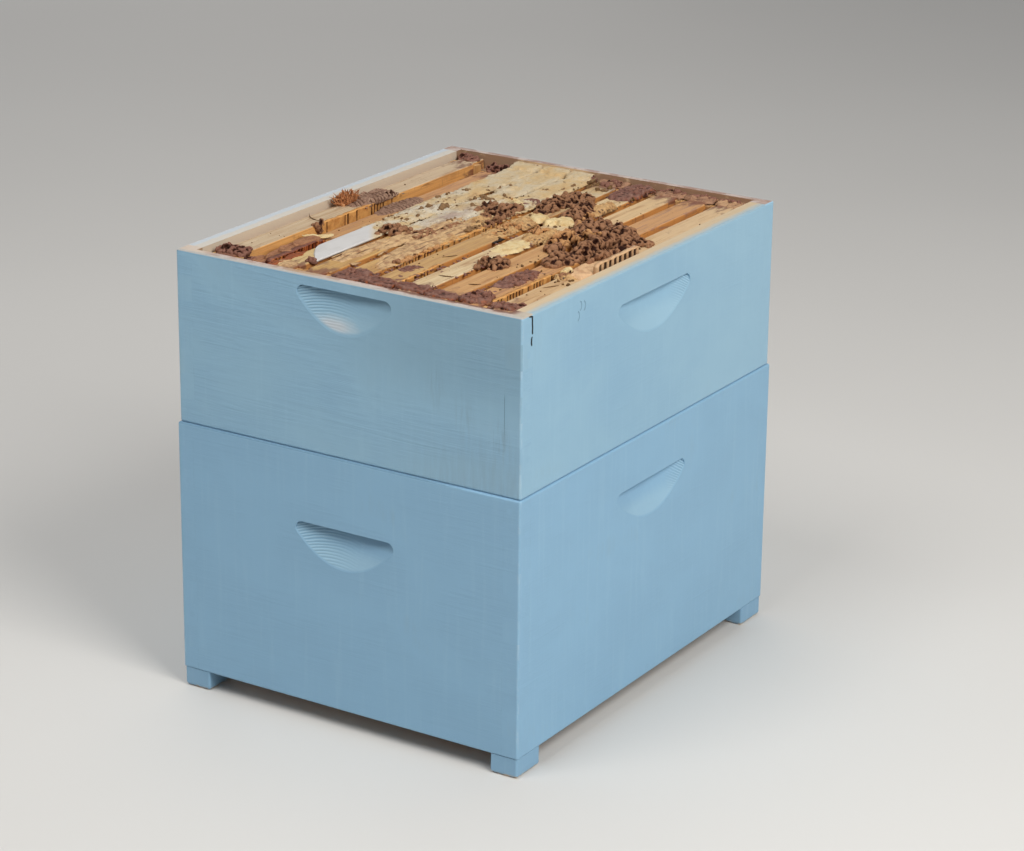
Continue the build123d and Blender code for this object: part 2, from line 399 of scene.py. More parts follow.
def rim_colour(finish, side, wood, depth, along, stain):
    """The upper edge of a wall: chalky paint, or bare wood that the paint laps over from outside."""
    ragged = depth + (stain - 0.5) * 7
    if side == "left":
        bare = finish.mix(wood, linear(196, 194, 188), 0.75)
        return finish.mix(linear(190, 198, 204), bare, ragged.rise(7, 11))
    if side == "right":
        bare = finish.mix(wood, linear(195, 177, 148), 0.8)
        worn = finish.mix(linear(176, 182, 179), bare, ragged.rise(5, 11.5))
        return finish.mix(RIM_LAP_AND_SHADE, worn, ragged.rise(1, 5.5))
    chalk = finish.mix(linear(194, 180, 172), linear(174, 150, 138), stain.rise(0.42, 0.62))
    if side == "back":
        chalk = finish.mix(chalk, PROPOLIS_PALE, stain.rise(0.35, 0.6) * 0.45)
        return finish.mix(CHALKY_RIM, chalk, depth.rise(1.2, 4))
    scraped = along.near(-50, 45)
    smear_edge = 10.5 - along.rise(15, 60) * 4.5
    smear = (ragged - smear_edge).rise(-1, 2.2) * along.rise(-170, -155)
    smear = smear * along.rise(196, 186) * scraped.rise(0.8, 0.1)
    chalk = finish.coats(
        chalk,
        (linear(180, 150, 118), scraped * 0.8),
        (linear(182, 174, 158), along.rise(188, 196) * 0.8),
        (linear(204, 190, 175), along.rise(-160, -182) * 0.85),
        (linear(110, 72, 54), smear * 0.85),
    )
    return finish.mix(linear(178, 176, 171), chalk, depth.rise(1.8, 5))


# Grey scuffs on the front wall: place across it, and top and bottom below the rim, in mm
SCUFFS = ((108, 55, 118), (140, 75, 140), (182, 95, 165))


def front_wear_and_shade(finish, blue, along, z, depth, stain):
    """The front grip's rubbed patch, grey scuffs to the right of it that fade at both ends, and painted
    shade over the upper right of the face.
    """
    spot_x, spot_z, scuff_half, fade = -14, rim - 47, 16, 35
    reach = ((along - spot_x) / 36) ** 2 + ((z - spot_z) / 13) ** 2
    rubbed = (reach + (stain - 0.5) * 1.4).rise(1.2, 0.1) * depth.rise(0.2, 1)
    blue = finish.mix(blue, WORN_PAINT, rubbed * 0.5)
    core = reach.rise(0.4, 0.0) * depth.rise(0.2, 1)
    blue = finish.mix(blue, linear(216, 210, 208), core * 0.45)
    streak = finish.noise((4.5, 10, 50), 3.0, 0.6, 0.3, 11.0)
    for scuff_x, top, bottom in SCUFFS:
        band = along.near(scuff_x, scuff_half) * z.rise(rim - bottom, rim - bottom + fade)
        band = band * z.rise(rim - top, rim - top - fade)
        blue = finish.mix(blue, PAINT_SCUFF, band * streak.rise(0.4, 0.72) * 0.55)
    # Painted shade over the upper right of the front face
    painted_shade = along.rise(-80, 120) * z.rise(rim - 130, rim - 50)
    blue = finish.mix(blue, linear(112, 142, 158), painted_shade * 0.38)
    grime = along.rise(20, 170) * z.rise(rim - 95, rim - 180)
    return finish.mix(blue, PAINT_SCUFF, grime * streak.rise(0.2, 0.7) * 0.35)


def corner_crack(finish, blue, x, y, z):
    """The open joint beside the right wall's front finger, and a hairline on the front wall's joint."""
    crack_y = -rim_half_length + wall
    sway = finish.noise((50, 50, 9), 2.0, 0.5, 0.0, 2.0)
    kink = z.rise(rim - 19, rim - 25) * z.rise(rim - 36, rim - 27)
    line = (y + (sway - 0.5) * 2.2 + kink * 1.6).near(crack_y - 1.2, 2.1)
    line = line * z.rise(rim - 33, rim - 29) * z.rise(rim - 1.6, rim - 2.6)
    line = line * (1 - z.near(rim - 21, 2.6) * 0.9)
    shelf = (z + (y - crack_y) * 0.25).near(rim - 2.8, 1.5)
    shelf = shelf * y.rise(crack_y - 9, crack_y - 6) * y.rise(crack_y - 0.4, crack_y - 1.2)
    on_side = x.rise(rim_half_width - 2, rim_half_width - 1)
    hairline = x.near(rim_half_width - wall, 0.7) * z.rise(rim - 130, rim - 110)
    hairline = hairline * z.rise(rim - 76, rim - 84)
    hairline = hairline * y.rise(-rim_half_length + 2, -rim_half_length + 1)
    blue = finish.mix(blue, linear(92, 124, 146), hairline * 0.8)
    return finish.mix(blue, linear(18, 30, 36), line.most(shelf).rise(0.2, 0.5) * on_side)


# Dents in the right wall: place along it, and depth below the rim, in mm
DENTS = ((-146, 14.5), (-139, 16), (-150, 24))


def bruise(finish, blue, relief, y, z):
    """Curved dents where something struck the right wall."""
    dents = 0.0
    for dent_y, drop in DENTS:
        radius = (((y - dent_y) / 3.2) ** 2 + ((z - (rim - drop)) / 4.6) ** 2) ** 0.5
        dents = dents + radius.near(1.0, 0.25) * y.rise(dent_y - 1, dent_y + 1.5)
    return finish.mix(blue, PAINT_LINE, dents * 0.8), relief - dents * 0.6


def painted_foot(label):
    """A painted foot, scraped bare along its lower edge."""
    finish = Finish(label)
    blue, relief = blue_paint(finish, FOOT_PAINT, "X", shift=31.0, ripple=0.6)
    wood, wood_relief = softwood(finish, "X", BARE_WOOD, BARE_WOOD_DARK, shift=31.0)
    scrape = finish.noise((5, 5, 3), 3.0, 0.6, 0.0, 9.0)
    worn = finish.z.rise(4, 0.5) * scrape.rise(0.42, 0.6)
    colour = finish.mix(blue, wood, worn.most(finish.facing[2].rise(-0.8, -0.95)))
    return finish.done(colour, 0.6, relief + wood_relief * worn)


def nail_head(label, is_super):
    """Heads painted over like the boards round them, and bare steel below the surface."""
    finish = Finish(label)
    paint = SUPER_PAINT if is_super else BODY_PAINT
    blue, relief = blue_paint(finish, paint, "X", shift=0.0, ripple=0.3)
    stain = finish.noise((16, 16, 10), 4.0, 0.6, 0.3, 1.0)

    def outside(place, half):
        return place.rise(half - 1.5, half - 0.3)

    on_right, on_front = outside(finish.x, rim_half_width), outside(-finish.y, rim_half_length)
    blue = face_tone(finish, blue, is_super, on_right, on_front, rim_half_length, stain)
    painted = outside(abs(finish.x), rim_half_width).most(outside(abs(finish.y), rim_half_length))
    colour = finish.mix(linear(120, 116, 112), blue, painted)
    return finish.done(colour, 0.4 + painted * 0.18, relief, Specular_IOR_Level=0.3)


def mould_tone(finish):
    """Colour and relief of old wax gone white and grey with mould, with soft brown specks; it is plainer
    and creamier towards the far end, and foggy mauve along the fourth bar."""
    near = finish.y.rise(150, 80)
    patch = finish.noise((24, 38, 24), 4.0, 0.6, 0.4)
    fuzz = finish.noise((3.0,) * 3, 4.0, 0.65)
    smear = finish.noise((9, 24, 9), 4.0, 0.6, 0.3)
    blots = finish.noise((6.5, 8, 7), 3.0, 0.6, 0.5, 3.0)
    specks = finish.noise((2.8, 3.4, 3), 2.0, 0.5, 0.3, 5.0)
    white = patch.rise(0.48, 0.64) * fuzz.rise(0.35, 0.6) * (near * 0.7 + 0.2)
    fog = finish.x.near(bar_centre(4) / mm + 2, 19) * finish.y.near(18, 74)
    soft = blots.rise(0.57, 0.7) * smear.rise(0.36, 0.55) * (near * 0.7 + 0.3)
    faint = specks.rise(0.6, 0.72) * patch.rise(0.34, 0.5) * (near * 0.7 + 0.3)
    colour = finish.coats(
        linear(200, 170, 122),
        (linear(198, 180, 148), patch.rise(0.36, 0.6)),
        (linear(208, 202, 188), white),
        (linear(170, 150, 118), fuzz.rise(0.46, 0.7) * 0.5),
        (linear(184, 140, 90), patch.rise(0.42, 0.26) * 0.6),
        (linear(136, 106, 78), smear.rise(0.52, 0.74) * (near * 0.4 + 0.3)),
        (linear(166, 146, 132), fog * smear.rise(0.3, 0.5)),
        (linear(120, 92, 60), soft * 0.75),
        (linear(116, 86, 54), faint * 0.7),
    )
    return colour, fuzz * 0.8 + soft * 0.6


# Where bars have gone mouldy: near and far end in mm
MOULDY = {3: (-44, 222), 4: (-44, 222), 5: (-10, 222), 6: (150, 226)}

# How much the mauve streaks show: on bars that have more of them, and on the rest
MAUVE = {2: 0.4, 5: 0.3, 6: 0.35, 9: 0.75}
PLAIN_MAUVE = 0.15


def bar_wood(number, light, dark, far_tone, label):
    """A top bar: scrubbed wood above, amber sides, and propolis stains towards its ends."""
    finish = Finish(label)
    shift = 1.7 * number
    level = bar_level(number) / mm
    wood, relief = softwood(finish, "Y", light, dark, shift)
    wood = finish.mix(wood, far_tone, finish.y.rise(20, 120) * 0.6)
    stain = finish.noise((9, 22, 9), 4.0, 0.6, 0.3, shift + 2)
    if number in MOULDY:
        near, far = MOULDY[number]
        ragged = finish.y + (stain - 0.5) * 60
        film = ragged.rise(near - 15, near + 15) * ragged.rise(far + 10, far - 20)
        wood = finish.mix(wood, mould_tone(finish)[0], film * 0.9)
    # Painted light: bar 1's side a lighter amber; painted shade: every side darker lower down, less so on
    # bar 1
    amber = linear(240, 182, 108) if number == 1 else AMBER
    side, _ = softwood(finish, "Y", amber, finish.mix(amber, AMBER_DARK, 0.5), shift + 5)
    shaded = finish.z.rise(level - 8, level - 21)
    side = finish.mix(side, AMBER_DARK, shaded * (0.6 if number == 1 else 1.0))
    drips = finish.noise((9, 2.6, 30), 3.0, 0.6, 0.4, shift + 8)
    side = finish.mix(side, PROPOLIS_RED, drips.rise(0.6, 0.74) * 0.8)
    ends = abs(finish.y).rise(165, 222)
    streak = finish.noise((4, 50, 9), 4.0, 0.6, 0.4, shift + 6)
    grime = finish.noise((7, 70, 9), 4.0, 0.6, 0.5, shift + 9)
    scratch = finish.noise((0.7, 48, 5), 2.0, 0.5, 0.3, shift + 3)
    specks = finish.cells((9, 9, 9), "F1", shift)
    marks = (scratch.rise(0.66, 0.72) * 0.5).most(specks.rise(0.1, 0.06) * stain.rise(0.45, 0.55) * 0.8)
    colour = finish.coats(
        side,
        (wood, finish.facing[2].rise(0.35, 0.8)),
        (PROPOLIS_PALE, streak.rise(0.5, 0.68) * MAUVE.get(number, PLAIN_MAUVE)),
        (linear(150, 102, 60), grime.rise(0.5, 0.72) * 0.6),
        (PROPOLIS, (stain + ends * 0.3).rise(0.62, 0.82) * 0.75),
        (PROPOLIS_RED, (stain * ends).rise(0.36, 0.6) * 0.6),
        (linear(106, 72, 46), marks),
    )
    return finish.done(colour, 0.6, relief - marks * 0.2)


def plain_wood(label, along, light, dark, shift):
    """Hidden wood that bees have polished and stained."""
    finish = Finish(label)
    wood, relief = softwood(finish, along, light, dark, shift)
    stain = finish.noise((14, 14, 14), 4.0, 0.6, 0.3, shift)
    colour = finish.mix(wood, PROPOLIS, stain.rise(0.5, 0.7) * 0.6)
    return finish.done(colour, 0.6, relief)


def comb_wax(label, cap, cell, floor):
    """Drawn comb: pale caps and rims, cells that darken towards their floors."""
    finish = Finish(label)
    depth = finish.stored("depth")
    patch = finish.noise((30, 30, 30), 3.0, 0.55, 0.2)
    fine = finish.noise((1.2,) * 3, 2.0)
    patched = (cell, patch.rise(0.4, 0.65))
    colour = finish.coats(cap, patched, (cell, depth.rise(0.0, 0.25)), (floor, depth.rise(0.25, 1.0)))
    return finish.done(colour, 0.45 - depth * 0.2, fine * 0.15)


def cell_bump_wax(label, wax, hollow):
    """Old comb on which open cells show as a pattern of rims and hollows."""
    finish = Finish(label)
    edge = finish.cells((5.2, 5.2, 5.2), "DISTANCE_TO_EDGE")
    tone = finish.noise((40,) * 3, 3.0)
    colour = finish.mix(wax, hollow, edge.rise(0.06, 0.2))
    colour = finish.mix(colour, hollow, tone.rise(0.4, 0.7) * 0.4)
    return finish.done(colour, 0.6, edge.rise(0.2, 0.05))


def propolis_finish(label):
    """Brown-mauve bee glue, redder in patches and on its broken sides; its hollows get a near-black painted
    shade and its rises a lighter painted highlight.
    """
    finish = Finish(label)
    depth = finish.stored("depth")
    tone = finish.noise((13,) * 3, 4.0, 0.6, 0.2)
    fine = finish.noise((1.7,) * 3, 3.0, 0.6)
    drips = finish.noise((3, 3, 20), 3.0, 0.6, 0.3)
    broken = finish.mix(linear(172, 94, 52), PROPOLIS_DARK, drips.rise(0.42, 0.62))
    colour = finish.coats(
        PROPOLIS,
        (PROPOLIS_PALE, tone.rise(0.5, 0.75) * 0.6),
        (PROPOLIS_RED, tone.rise(0.48, 0.3) * 0.8),
        # Painted highlight where it stands out, painted shade in its hollows
        (PROPOLIS_PALE, depth.rise(-0.2, -1.0) * 0.35),
        (PROPOLIS_DARK, (depth.rise(0.0, 0.9) * 0.8).most(fine.rise(0.54, 0.78) * 0.5)),
        (broken, finish.facing[2].rise(0.7, 0.3) * 0.8),
    )
    return finish.done(colour, 0.5, fine * 0.5, Specular_IOR_Level=0.25)


def rust_finish(label, top):
    """A torn wall of old comb soaked with propolis: upright streaks from near black through red to orange,
    another colour on top, and a near-black painted shade in its hollows."""
    finish = Finish(label)
    drips = finish.noise((8, 3.4, 26), 3.0, 0.6, 0.5)
    patch = finish.noise((14,) * 3, 3.0, 0.6, 0.2, 3.0)
    fine = finish.noise((1.6, 1.2, 5), 3.0, 0.6)
    colour = finish.coats(
        linear(78, 32, 18),
        (linear(146, 70, 36), drips.rise(0.38, 0.52)),
        (linear(212, 134, 70), drips.rise(0.52, 0.66) * patch.rise(0.36, 0.56)),
        (top, finish.facing[2].rise(0.4, 0.8) * 0.8),
        (linear(38, 17, 10), finish.stored("depth").rise(0.2, 0.9) * 0.8),
    )
    return finish.done(colour, 0.45, fine * 0.5, Specular_IOR_Level=0.3)


def burr_finish(label, body, crest, hollow):
    """Torn burr comb in lumps: a lighter painted highlight on the crests and a near-black painted shade in
    the crevices between them.
    """
    finish = Finish(label)
    depth = finish.stored("depth")
    tone = finish.noise((11,) * 3, 4.0, 0.65, 0.3)
    mottle = finish.noise((2.6,) * 3, 4.0, 0.65)
    fine = finish.noise((1.0,) * 3, 3.0, 0.6)
    colour = finish.coats(
        body,
        (crest, tone.rise(0.46, 0.7) * 0.65),
        (hollow, tone.rise(0.48, 0.3) * 0.45),
        # Painted highlight on the crests, painted shade in the crevices
        (crest, (depth.rise(0.1, -1.0) * 0.6 + mottle.rise(0.5, 0.75) * 0.5).least(0.85)),
        (hollow, (depth.rise(-0.1, 0.7) + mottle.rise(0.46, 0.3) * 0.4).least(1.0)),
    )
    return finish.done(colour, 0.55, fine * 0.4 + mottle * 0.8, Specular_IOR_Level=0.12)


def mould_finish(label):
    """Mouldy wax that stands on the bars."""
    finish = Finish(label)
    colour, relief = mould_tone(finish)
    return finish.done(colour, 0.8, relief)


def white_finish(label):
    """Smooth bleached wax, a little grey where it has been handled."""
    finish = Finish(label)
    smudge = finish.noise((18, 45, 18), 3.0, 0.55, 0.2)
    fine = finish.noise((3,) * 3, 3.0)
    run = finish.y + (finish.x - bar_centre(3) / mm) * 1.46
    colour = finish.coats(
        linear(202, 200, 198),
        (linear(190, 187, 184), smudge.rise(0.45, 0.7) * 0.7),
        (linear(190, 172, 150), finish.facing[2].rise(0.6, 0.1) * 0.5),
        (linear(204, 184, 148), (run + (smudge - 0.5) * 30).rise(-78, -58)),
    )
    return finish.done(colour, 0.5, fine * 0.2, Specular_IOR_Level=0.4)


def pale_wax_finish(label, light, dark, hollow=PROPOLIS_DARK):
    """Wax and torn cell walls, with a dark painted shade in their hollows."""
    finish = Finish(label)
    tone = finish.noise((8,) * 3, 4.0, 0.6, 0.2)
    fine = finish.noise((1.4,) * 3, 3.0)
    mottle = finish.noise((3.4,) * 3, 4.0, 0.65, 0.2)
    colour = finish.coats(
        light,
        (dark, tone.rise(0.4, 0.7)),
        (PROPOLIS_PALE, mottle.rise(0.54, 0.74) * tone.rise(0.4, 0.6) * 0.5),
        (hollow, finish.stored("depth").rise(0.2, 0.9) * 0.95),
    )
    return finish.done(colour, 0.5, fine * 0.35, Specular_IOR_Level=0.3)


def lattice_noise(points, size, seed):
    """Smooth noise from -1 to 1 at each point, in lumps of about that size."""
    place = np.asarray(points, float) / size
    base = np.floor(place).astype(np.int64)
    part = place - base
    part = part * part * (3 - 2 * part)
    total = np.zeros(len(place))
    for corner in np.ndindex(2, 2, 2):
        key = (base + corner) @ np.array([374761393, 668265263, 1440662683]) + seed * 982451653
        key = (key ^ (key >> 13)) * 1274126177
        value = ((key ^ (key >> 16)) & 0xFFFF) / 32767.5 - 1
        total += value * np.prod(np.where(corner, part, 1 - part), axis=1)
    return total


def make_piece(name, number, points, faces, material, depth=None):
    """A smooth-shaded mesh that rides on a frame; depth is kept on its points for the finish."""
    body = f"frame_{number:02d}"
    mesh = bpy.data.meshes.new(name)
    mesh.from_pydata([tuple(p) for p in points], [], [list(map(int, f)) for f in faces])
    mesh.polygons.foreach_set("use_smooth", [True] * len(mesh.polygons))
    stored = mesh.attributes.new("depth", "FLOAT", "POINT")
    stored.data.foreach_set("value", np.zeros(len(points)) if depth is None else np.asarray(depth, float))
    mesh.materials.append(material)
    piece = bpy.data.objects.new(name, mesh)
    bpy.context.scene.collection.objects.link(piece)
    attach(piece, body)
    return piece


def closed_sheet(upper, lower, keep=None, depth=None):
    """Points, faces and depths of a closed skin over the kept cells, or all, of two grids of points."""
    rows, columns = upper.shape[:2]
    if keep is None:
        keep = np.full((rows - 1, columns - 1), True)
    count = rows * columns
    index = np.arange(count).reshape(rows, columns)
    shifts = ((0, 0), (1, 0), (1, 1), (0, 1))
    quads = np.stack([index[i : rows - 1 + i, j : columns - 1 + j][keep] for i, j in shifts], 1)
    edges = np.concatenate([quads[:, [i, (i + 1) % 4]] for i in range(4)])
    taken = {tuple(e) for e in edges}
    start, end = np.array([e for e in edges if (e[1], e[0]) not in taken]).T
    sides = np.stack([end, start, start + count, end + count], 1)
    used, faces = np.unique(np.concatenate([quads, quads[:, ::-1] + count, sides]), return_inverse=True)
    points = np.concatenate([upper.reshape(-1, 3), lower.reshape(-1, 3)])[used]
    depths = np.zeros(count * 2)
    if depth is not None:
        depths[:count] = depth.ravel()
    return points, faces.reshape(-1, 4), depths[used]


def hex_distance(u, v, pitch):
    """Distance to the nearest centre of a honeycomb of that pitch."""
    row = pitch * math.sqrt(3)
    gaps = []
    for shift_u, shift_v in ((0.0, 0.0), (row / 2, pitch / 2)):
        gap_u = (u - shift_u + row / 2) % row - row / 2
        gap_v = (v - shift_v + pitch / 2) % pitch - pitch / 2
        gaps.append(np.hypot(gap_u, gap_v))
    return np.minimum(*gaps)


def crust(name, number, spots, material, slot, seed, edge=1.0, rough=0.5, power=2, rib=False, cells=0.0,
          dark=1.0, stretch=1.0):
    """Wax or propolis on a bar: domes of (across, along, half width, half length, height) in mm, roughened.
    A larger edge gives flat tops with steep sides, a larger power squares the outline, rib gives torn cell
    walls across it, cells is the depth in mm of open cells in its top, dark is how strongly the finish
    paints shade in its dips, cells and torn walls and highlight on its rises, and stretch draws its
    roughness out along the bar."""
    spots = np.array(spots, float) * mm
    centre, base = bar_centre(number), bar_level(number)
    margin, step, sink = 3 * mm, (0.7 if cells or rib else 0.9) * mm, 0.7 * mm
    low = np.maximum((spots[:, 0] - spots[:, 2]).min() - margin, -slot_half)
    high = np.minimum((spots[:, 0] + spots[:, 2]).max() + margin, slot_half)
    near = np.maximum((spots[:, 1] - spots[:, 3]).min() - margin, -crust_reach)
    far = np.minimum((spots[:, 1] + spots[:, 3]).max() + margin, crust_reach)
    across = np.linspace(low, high, max(3, round((high - low) / step)))
    along = np.linspace(near, far, max(3, round((far - near) / step)))
    u, v = np.meshgrid(across, along, indexing="ij")
    flat = np.stack([u.ravel() + centre, v.ravel() / stretch, np.zeros(u.size)], 1)

    def field(size, shift):
        return lattice_noise(flat, size * mm, seed + shift).reshape(u.shape)

    bend_u = (field(9, 0) * 2.4 + field(3.6, 5) * 1.0) * mm
    bend_v = (field(9, 1) * 2.4 + field(3.6, 6) * 1.0) * mm
    height = np.full(u.shape, -mm)
    for middle_u, middle_v, half_u, half_v, tall in spots:
        reach = np.abs((u + bend_u - middle_u) / half_u) ** power
        reach = reach + np.abs((v + bend_v - middle_v) / half_v) ** power
        height = np.maximum(height, tall * np.clip((1 - reach) * edge, -1, 1))
    height = height + rough * mm * (0.5 * field(7, 7) + 0.6 * field(4, 2) + 0.4 * field(1.9, 3))
    level = height
    for _ in range(10):
        wide = np.pad(level, 1, mode="edge")
        level = (wide[:-2, 1:-1] + wide[2:, 1:-1] + wide[1:-1, :-2] + wide[1:-1, 2:]) / 4
    # Depth kept for the finish, which paints it as shade in dips, torn cell walls and open cells, and as
    # highlight on rises
    depth = np.clip((level - height) / (0.55 * mm), -1, 1) * dark
    if rib:
        wave = np.abs(np.sin(math.pi * (v + u * 0.35 + bend_v * 0.3) / cell_pitch))
        torn = np.clip((0.6 - wave) / 0.25, 0, 1) * np.clip(height / (2 * mm), 0, 1) * (field(9, 4) > -0.3)
        height = height - 1.7 * mm * torn
        depth = np.where(torn > 0, torn * 0.6, depth)
    if cells:
        wall_gap = hex_distance(u + bend_u * 0.3, v + bend_v * 0.3, cell_pitch)
        hollow = np.clip((2.15 * mm - wall_gap) / (0.6 * mm), 0, 1)
        broken = np.clip(field(7, 4) * 1.6 + 0.5, 0, 1)
        hollow = hollow * broken * (height > 0.3 * mm)
        height = height - cells * mm * hollow
        depth = np.where(hollow > 0, hollow * 0.85, depth)
    height = np.clip(height, -sink, None)
    upper = np.stack([u + centre, v, base + height], 2)
    lower = np.stack([u + centre, v, np.full(u.shape, base - sink - 0.3 * mm)], 2)
    corners = np.stack([height[:-1, :-1], height[1:, :-1], height[1:, 1:], height[:-1, 1:]])
    points, faces, depths = closed_sheet(upper, lower, corners.max(0) > -0.2 * mm, depth)
    return make_piece(name, number, points, faces, material, depths)


def cell_ledge(name, number, reach, across, height, material, seed, openness, pitch):
    """A wall of torn comb along a bar's right side, whose cells show as upright slots. In mm: near and far
    end, inner and outer face from the bar's middle, bottom and top from the bar's top, and the pitch of the
    slots. Openness is the share of its cells that are open."""
    random = np.random.default_rng(seed)
    centre, base = bar_centre(number), bar_level(number)
    (near, far), (inner, outer), (bottom, top) = (np.array(pair) * mm for pair in (reach, across, height))
    along = np.linspace(near, far, round((far - near) / (0.5 * mm)))
    share = np.linspace(0, 1, max(8, round((top - bottom) / (0.7 * mm))))
    v, t = np.meshgrid(along, share, indexing="ij")
    flat = np.stack([v.ravel(), t.ravel() * (top - bottom), np.full(v.size, centre)], 1)
    sway = lattice_noise(flat, 11 * mm, seed).reshape(v.shape)
    crest = lattice_noise(np.stack([along, along * 0, along * 0 + centre], 1), 6 * mm, seed + 1)[:, None]
    ends = np.clip(np.minimum(v - near, far - v) / (4 * mm), 0, 1) ** 0.5
    w = bottom + (top - bottom) * t * (0.85 + 0.15 * ends + 0.045 * crest)
    place = v / (pitch * mm) + 0.12 * sway
    slot_number = np.floor(place).astype(int)
    first = slot_number.min()
    slots = slot_number.max() - first + 1
    is_open = random.uniform(size=slots) < openness
    open_depth = (is_open * random.uniform(0.7, 1.0, slots))[slot_number - first]
    width = random.uniform(0.26, 0.4, slots)[slot_number - first]
    lip = np.clip((0.965 - t) / 0.05, 0, 1)
    notch = np.sqrt(np.clip(1 - ((place - slot_number - 0.5) / width) ** 2, 0, 1)) * open_depth * lip
    deepest = (outer - inner) * 0.8
    x = np.clip(outer - notch * deepest + sway * 0.5 * mm, inner + 0.4 * mm, slot_half)
    upper = np.stack([centre + x, v, base + w], 2)
    lower = np.stack([np.full(v.shape, centre + inner), v, base + w], 2)
    # The slots' depth, which the finish paints as shade inside them
    points, faces, depths = closed_sheet(upper, lower, depth=np.clip(notch * 2.2, 0, 1))
    return make_piece(name, number, points, faces, material, depths)


def flake(name, number, middle, half, material, lift, curl, turn, seed):
    """A thin curled flake of wax: its middle and half sizes across and along in mm, how far it stands off
    the bar, how much its ends curl up, and its turn in degrees."""
    centre, base = bar_centre(number), bar_level(number)
    steps = np.linspace(-1, 1, 25)
    s, t = np.meshgrid(steps, steps, indexing="ij")
    round_s, round_t = s * np.sqrt(1 - t**2 / 2), t * np.sqrt(1 - s**2 / 2)
    flat = np.stack([round_s.ravel() * 4, round_t.ravel() * 4, np.zeros(s.size)], 1)
    wrinkle = lattice_noise(flat, 1.3, seed).reshape(s.shape)
    angle = math.radians(turn)
    p = round_s * half[0] * (1 + 0.15 * wrinkle)
    q = round_t * half[1] * (1 + 0.15 * wrinkle)
    u = np.clip((middle[0] + p * math.cos(angle) - q * math.sin(angle)) * mm, -slot_half, slot_half)
    v = (middle[1] + p * math.sin(angle) + q * math.cos(angle)) * mm
    w = base + (lift + curl * round_t**2 + 0.7 * wrinkle) * mm
    upper = np.stack([centre + u, v, w + 0.5 * mm], 2)
    lower = np.stack([centre + u, v, w - 0.5 * mm], 2)
    points, faces, depths = closed_sheet(upper, lower)
    return make_piece(name, number, points, faces, material, depths)


def wax_slab(name, number, reach, across, material, height, skew):
    """A smooth thin tongue of wax with a rounded near end. In mm: near and far end, left and right edge,
    thickness, and how much further back its left edge lies."""
    centre, base = bar_centre(number), bar_level(number)
    half, middle = (across[1] - across[0]) / 2, (across[1] + across[0]) / 2
    along = np.linspace(0, 1, 70) ** 1.6
    share = np.sin(np.linspace(-math.pi / 2, math.pi / 2, 29))
    t, s = np.meshgrid(along, share, indexing="ij")
    length = reach[1] - reach[0]
    nose = np.sqrt(np.clip(1 - (1 - np.clip(t * length / (half * 0.6), 0, 1)) ** 2.6, 0, 1))
    u = (middle + s * half * (0.04 + 0.96 * nose)) * mm
    v = (reach[0] + t * length - skew / 2 * s * nose) * mm
    flat = np.stack([u.ravel(), v.ravel(), np.zeros(u.size)], 1)
    sway = lattice_noise(flat, 17 * mm, 7).reshape(u.shape)
    rounded = np.clip((1 - np.abs(s)) / 0.08, 0, 1) ** 0.5 * np.clip(t * length / 2.0 + 0.15, 0, 1)
    rounded = rounded * np.clip((1 - t) * 4, 0, 1) ** 0.7
    w = base + (height * (0.3 + 0.7 * rounded) + 0.25 * sway * rounded) * mm
    upper = np.stack([centre + u, v, w], 2)
    lower = np.stack([centre + u, v, np.full(v.shape, base - 0.5 * mm)], 2)
    points, faces, depths = closed_sheet(upper[:, ::-1], lower[:, ::-1])
    return make_piece(name, number, points, faces, material, depths)


def fibres(name, number, routes, material, thickness):
    """Bent splinters or stalks, each through points of (across, along, height above the bar) in mm."""
    origin = np.array([bar_centre(number), 0, bar_level(number)])
    points, faces = [], []
    for route in routes:
        route = np.array(route, float)
        ends = np.concatenate([[2 * route[0] - route[1]], route, [2 * route[-1] - route[-2]]])
        line = []
        for a, b, c, d in zip(ends, ends[1:], ends[2:], ends[3:]):
            for t in np.linspace(0, 1, 7)[:-1]:
                bend = (2 * a - 5 * b + 4 * c - d) * t**2 + (3 * b - a - 3 * c + d) * t**3
                line.append(b + ((c - a) * t + bend) / 2)
        line = np.array(line + [route[-1]]) * mm + origin
        ahead = np.gradient(line, axis=0)
        ahead /= np.linalg.norm(ahead, axis=1)[:, None]
        side = np.cross(ahead, [0.3, 0.5, 0.8])
        side /= np.linalg.norm(side, axis=1)[:, None]
        up = np.cross(side, ahead)
        radius = thickness / 2 * mm * np.sin(np.linspace(0.25, math.pi - 0.25, len(line)))[:, None]
        angles = np.arange(6) * math.tau / 6
        first = 6 * sum(len(part) for part in points)
        rings = [line + radius * (side * math.cos(a) + up * math.sin(a)) for a in angles]
        points.append(np.stack(rings, 1))
        for i in range(first, first + 6 * (len(line) - 1), 6):
            faces += [(i + k, i + (k + 1) % 6, i + 6 + (k + 1) % 6, i + 6 + k) for k in range(6)]
        last = first + 6 * (len(line) - 1)
        faces += [tuple(range(first + 5, first - 1, -1)), tuple(range(last, last + 6))]
    points = np.concatenate(points).reshape(-1, 3)
    return make_piece(name, number, points, faces, material)


def tuft(name, number, middle, reach, material, tall, count, seed):
    """A tangle of torn cell walls standing on a bar, as short bent fibres: its middle and reach across and
    along, and its height, in mm."""
    random = np.random.default_rng(seed)
    routes = []
    for _ in range(count):
        foot = np.array([*(np.array(middle) + random.uniform(-1, 1, 2) * reach), 0.0])
        lean = np.array([*random.normal(0, 6.0, 2), tall * random.uniform(0.2, 1.0)])
        lean[0] = np.clip(foot[0] + lean[0], -17, 17) - foot[0]
        bend = foot + lean * 0.5 + random.normal(0, 2.0, 3)
        routes.append([foot, bend, foot + lean])
    fibres(name, number, routes, material, thickness=1.3)


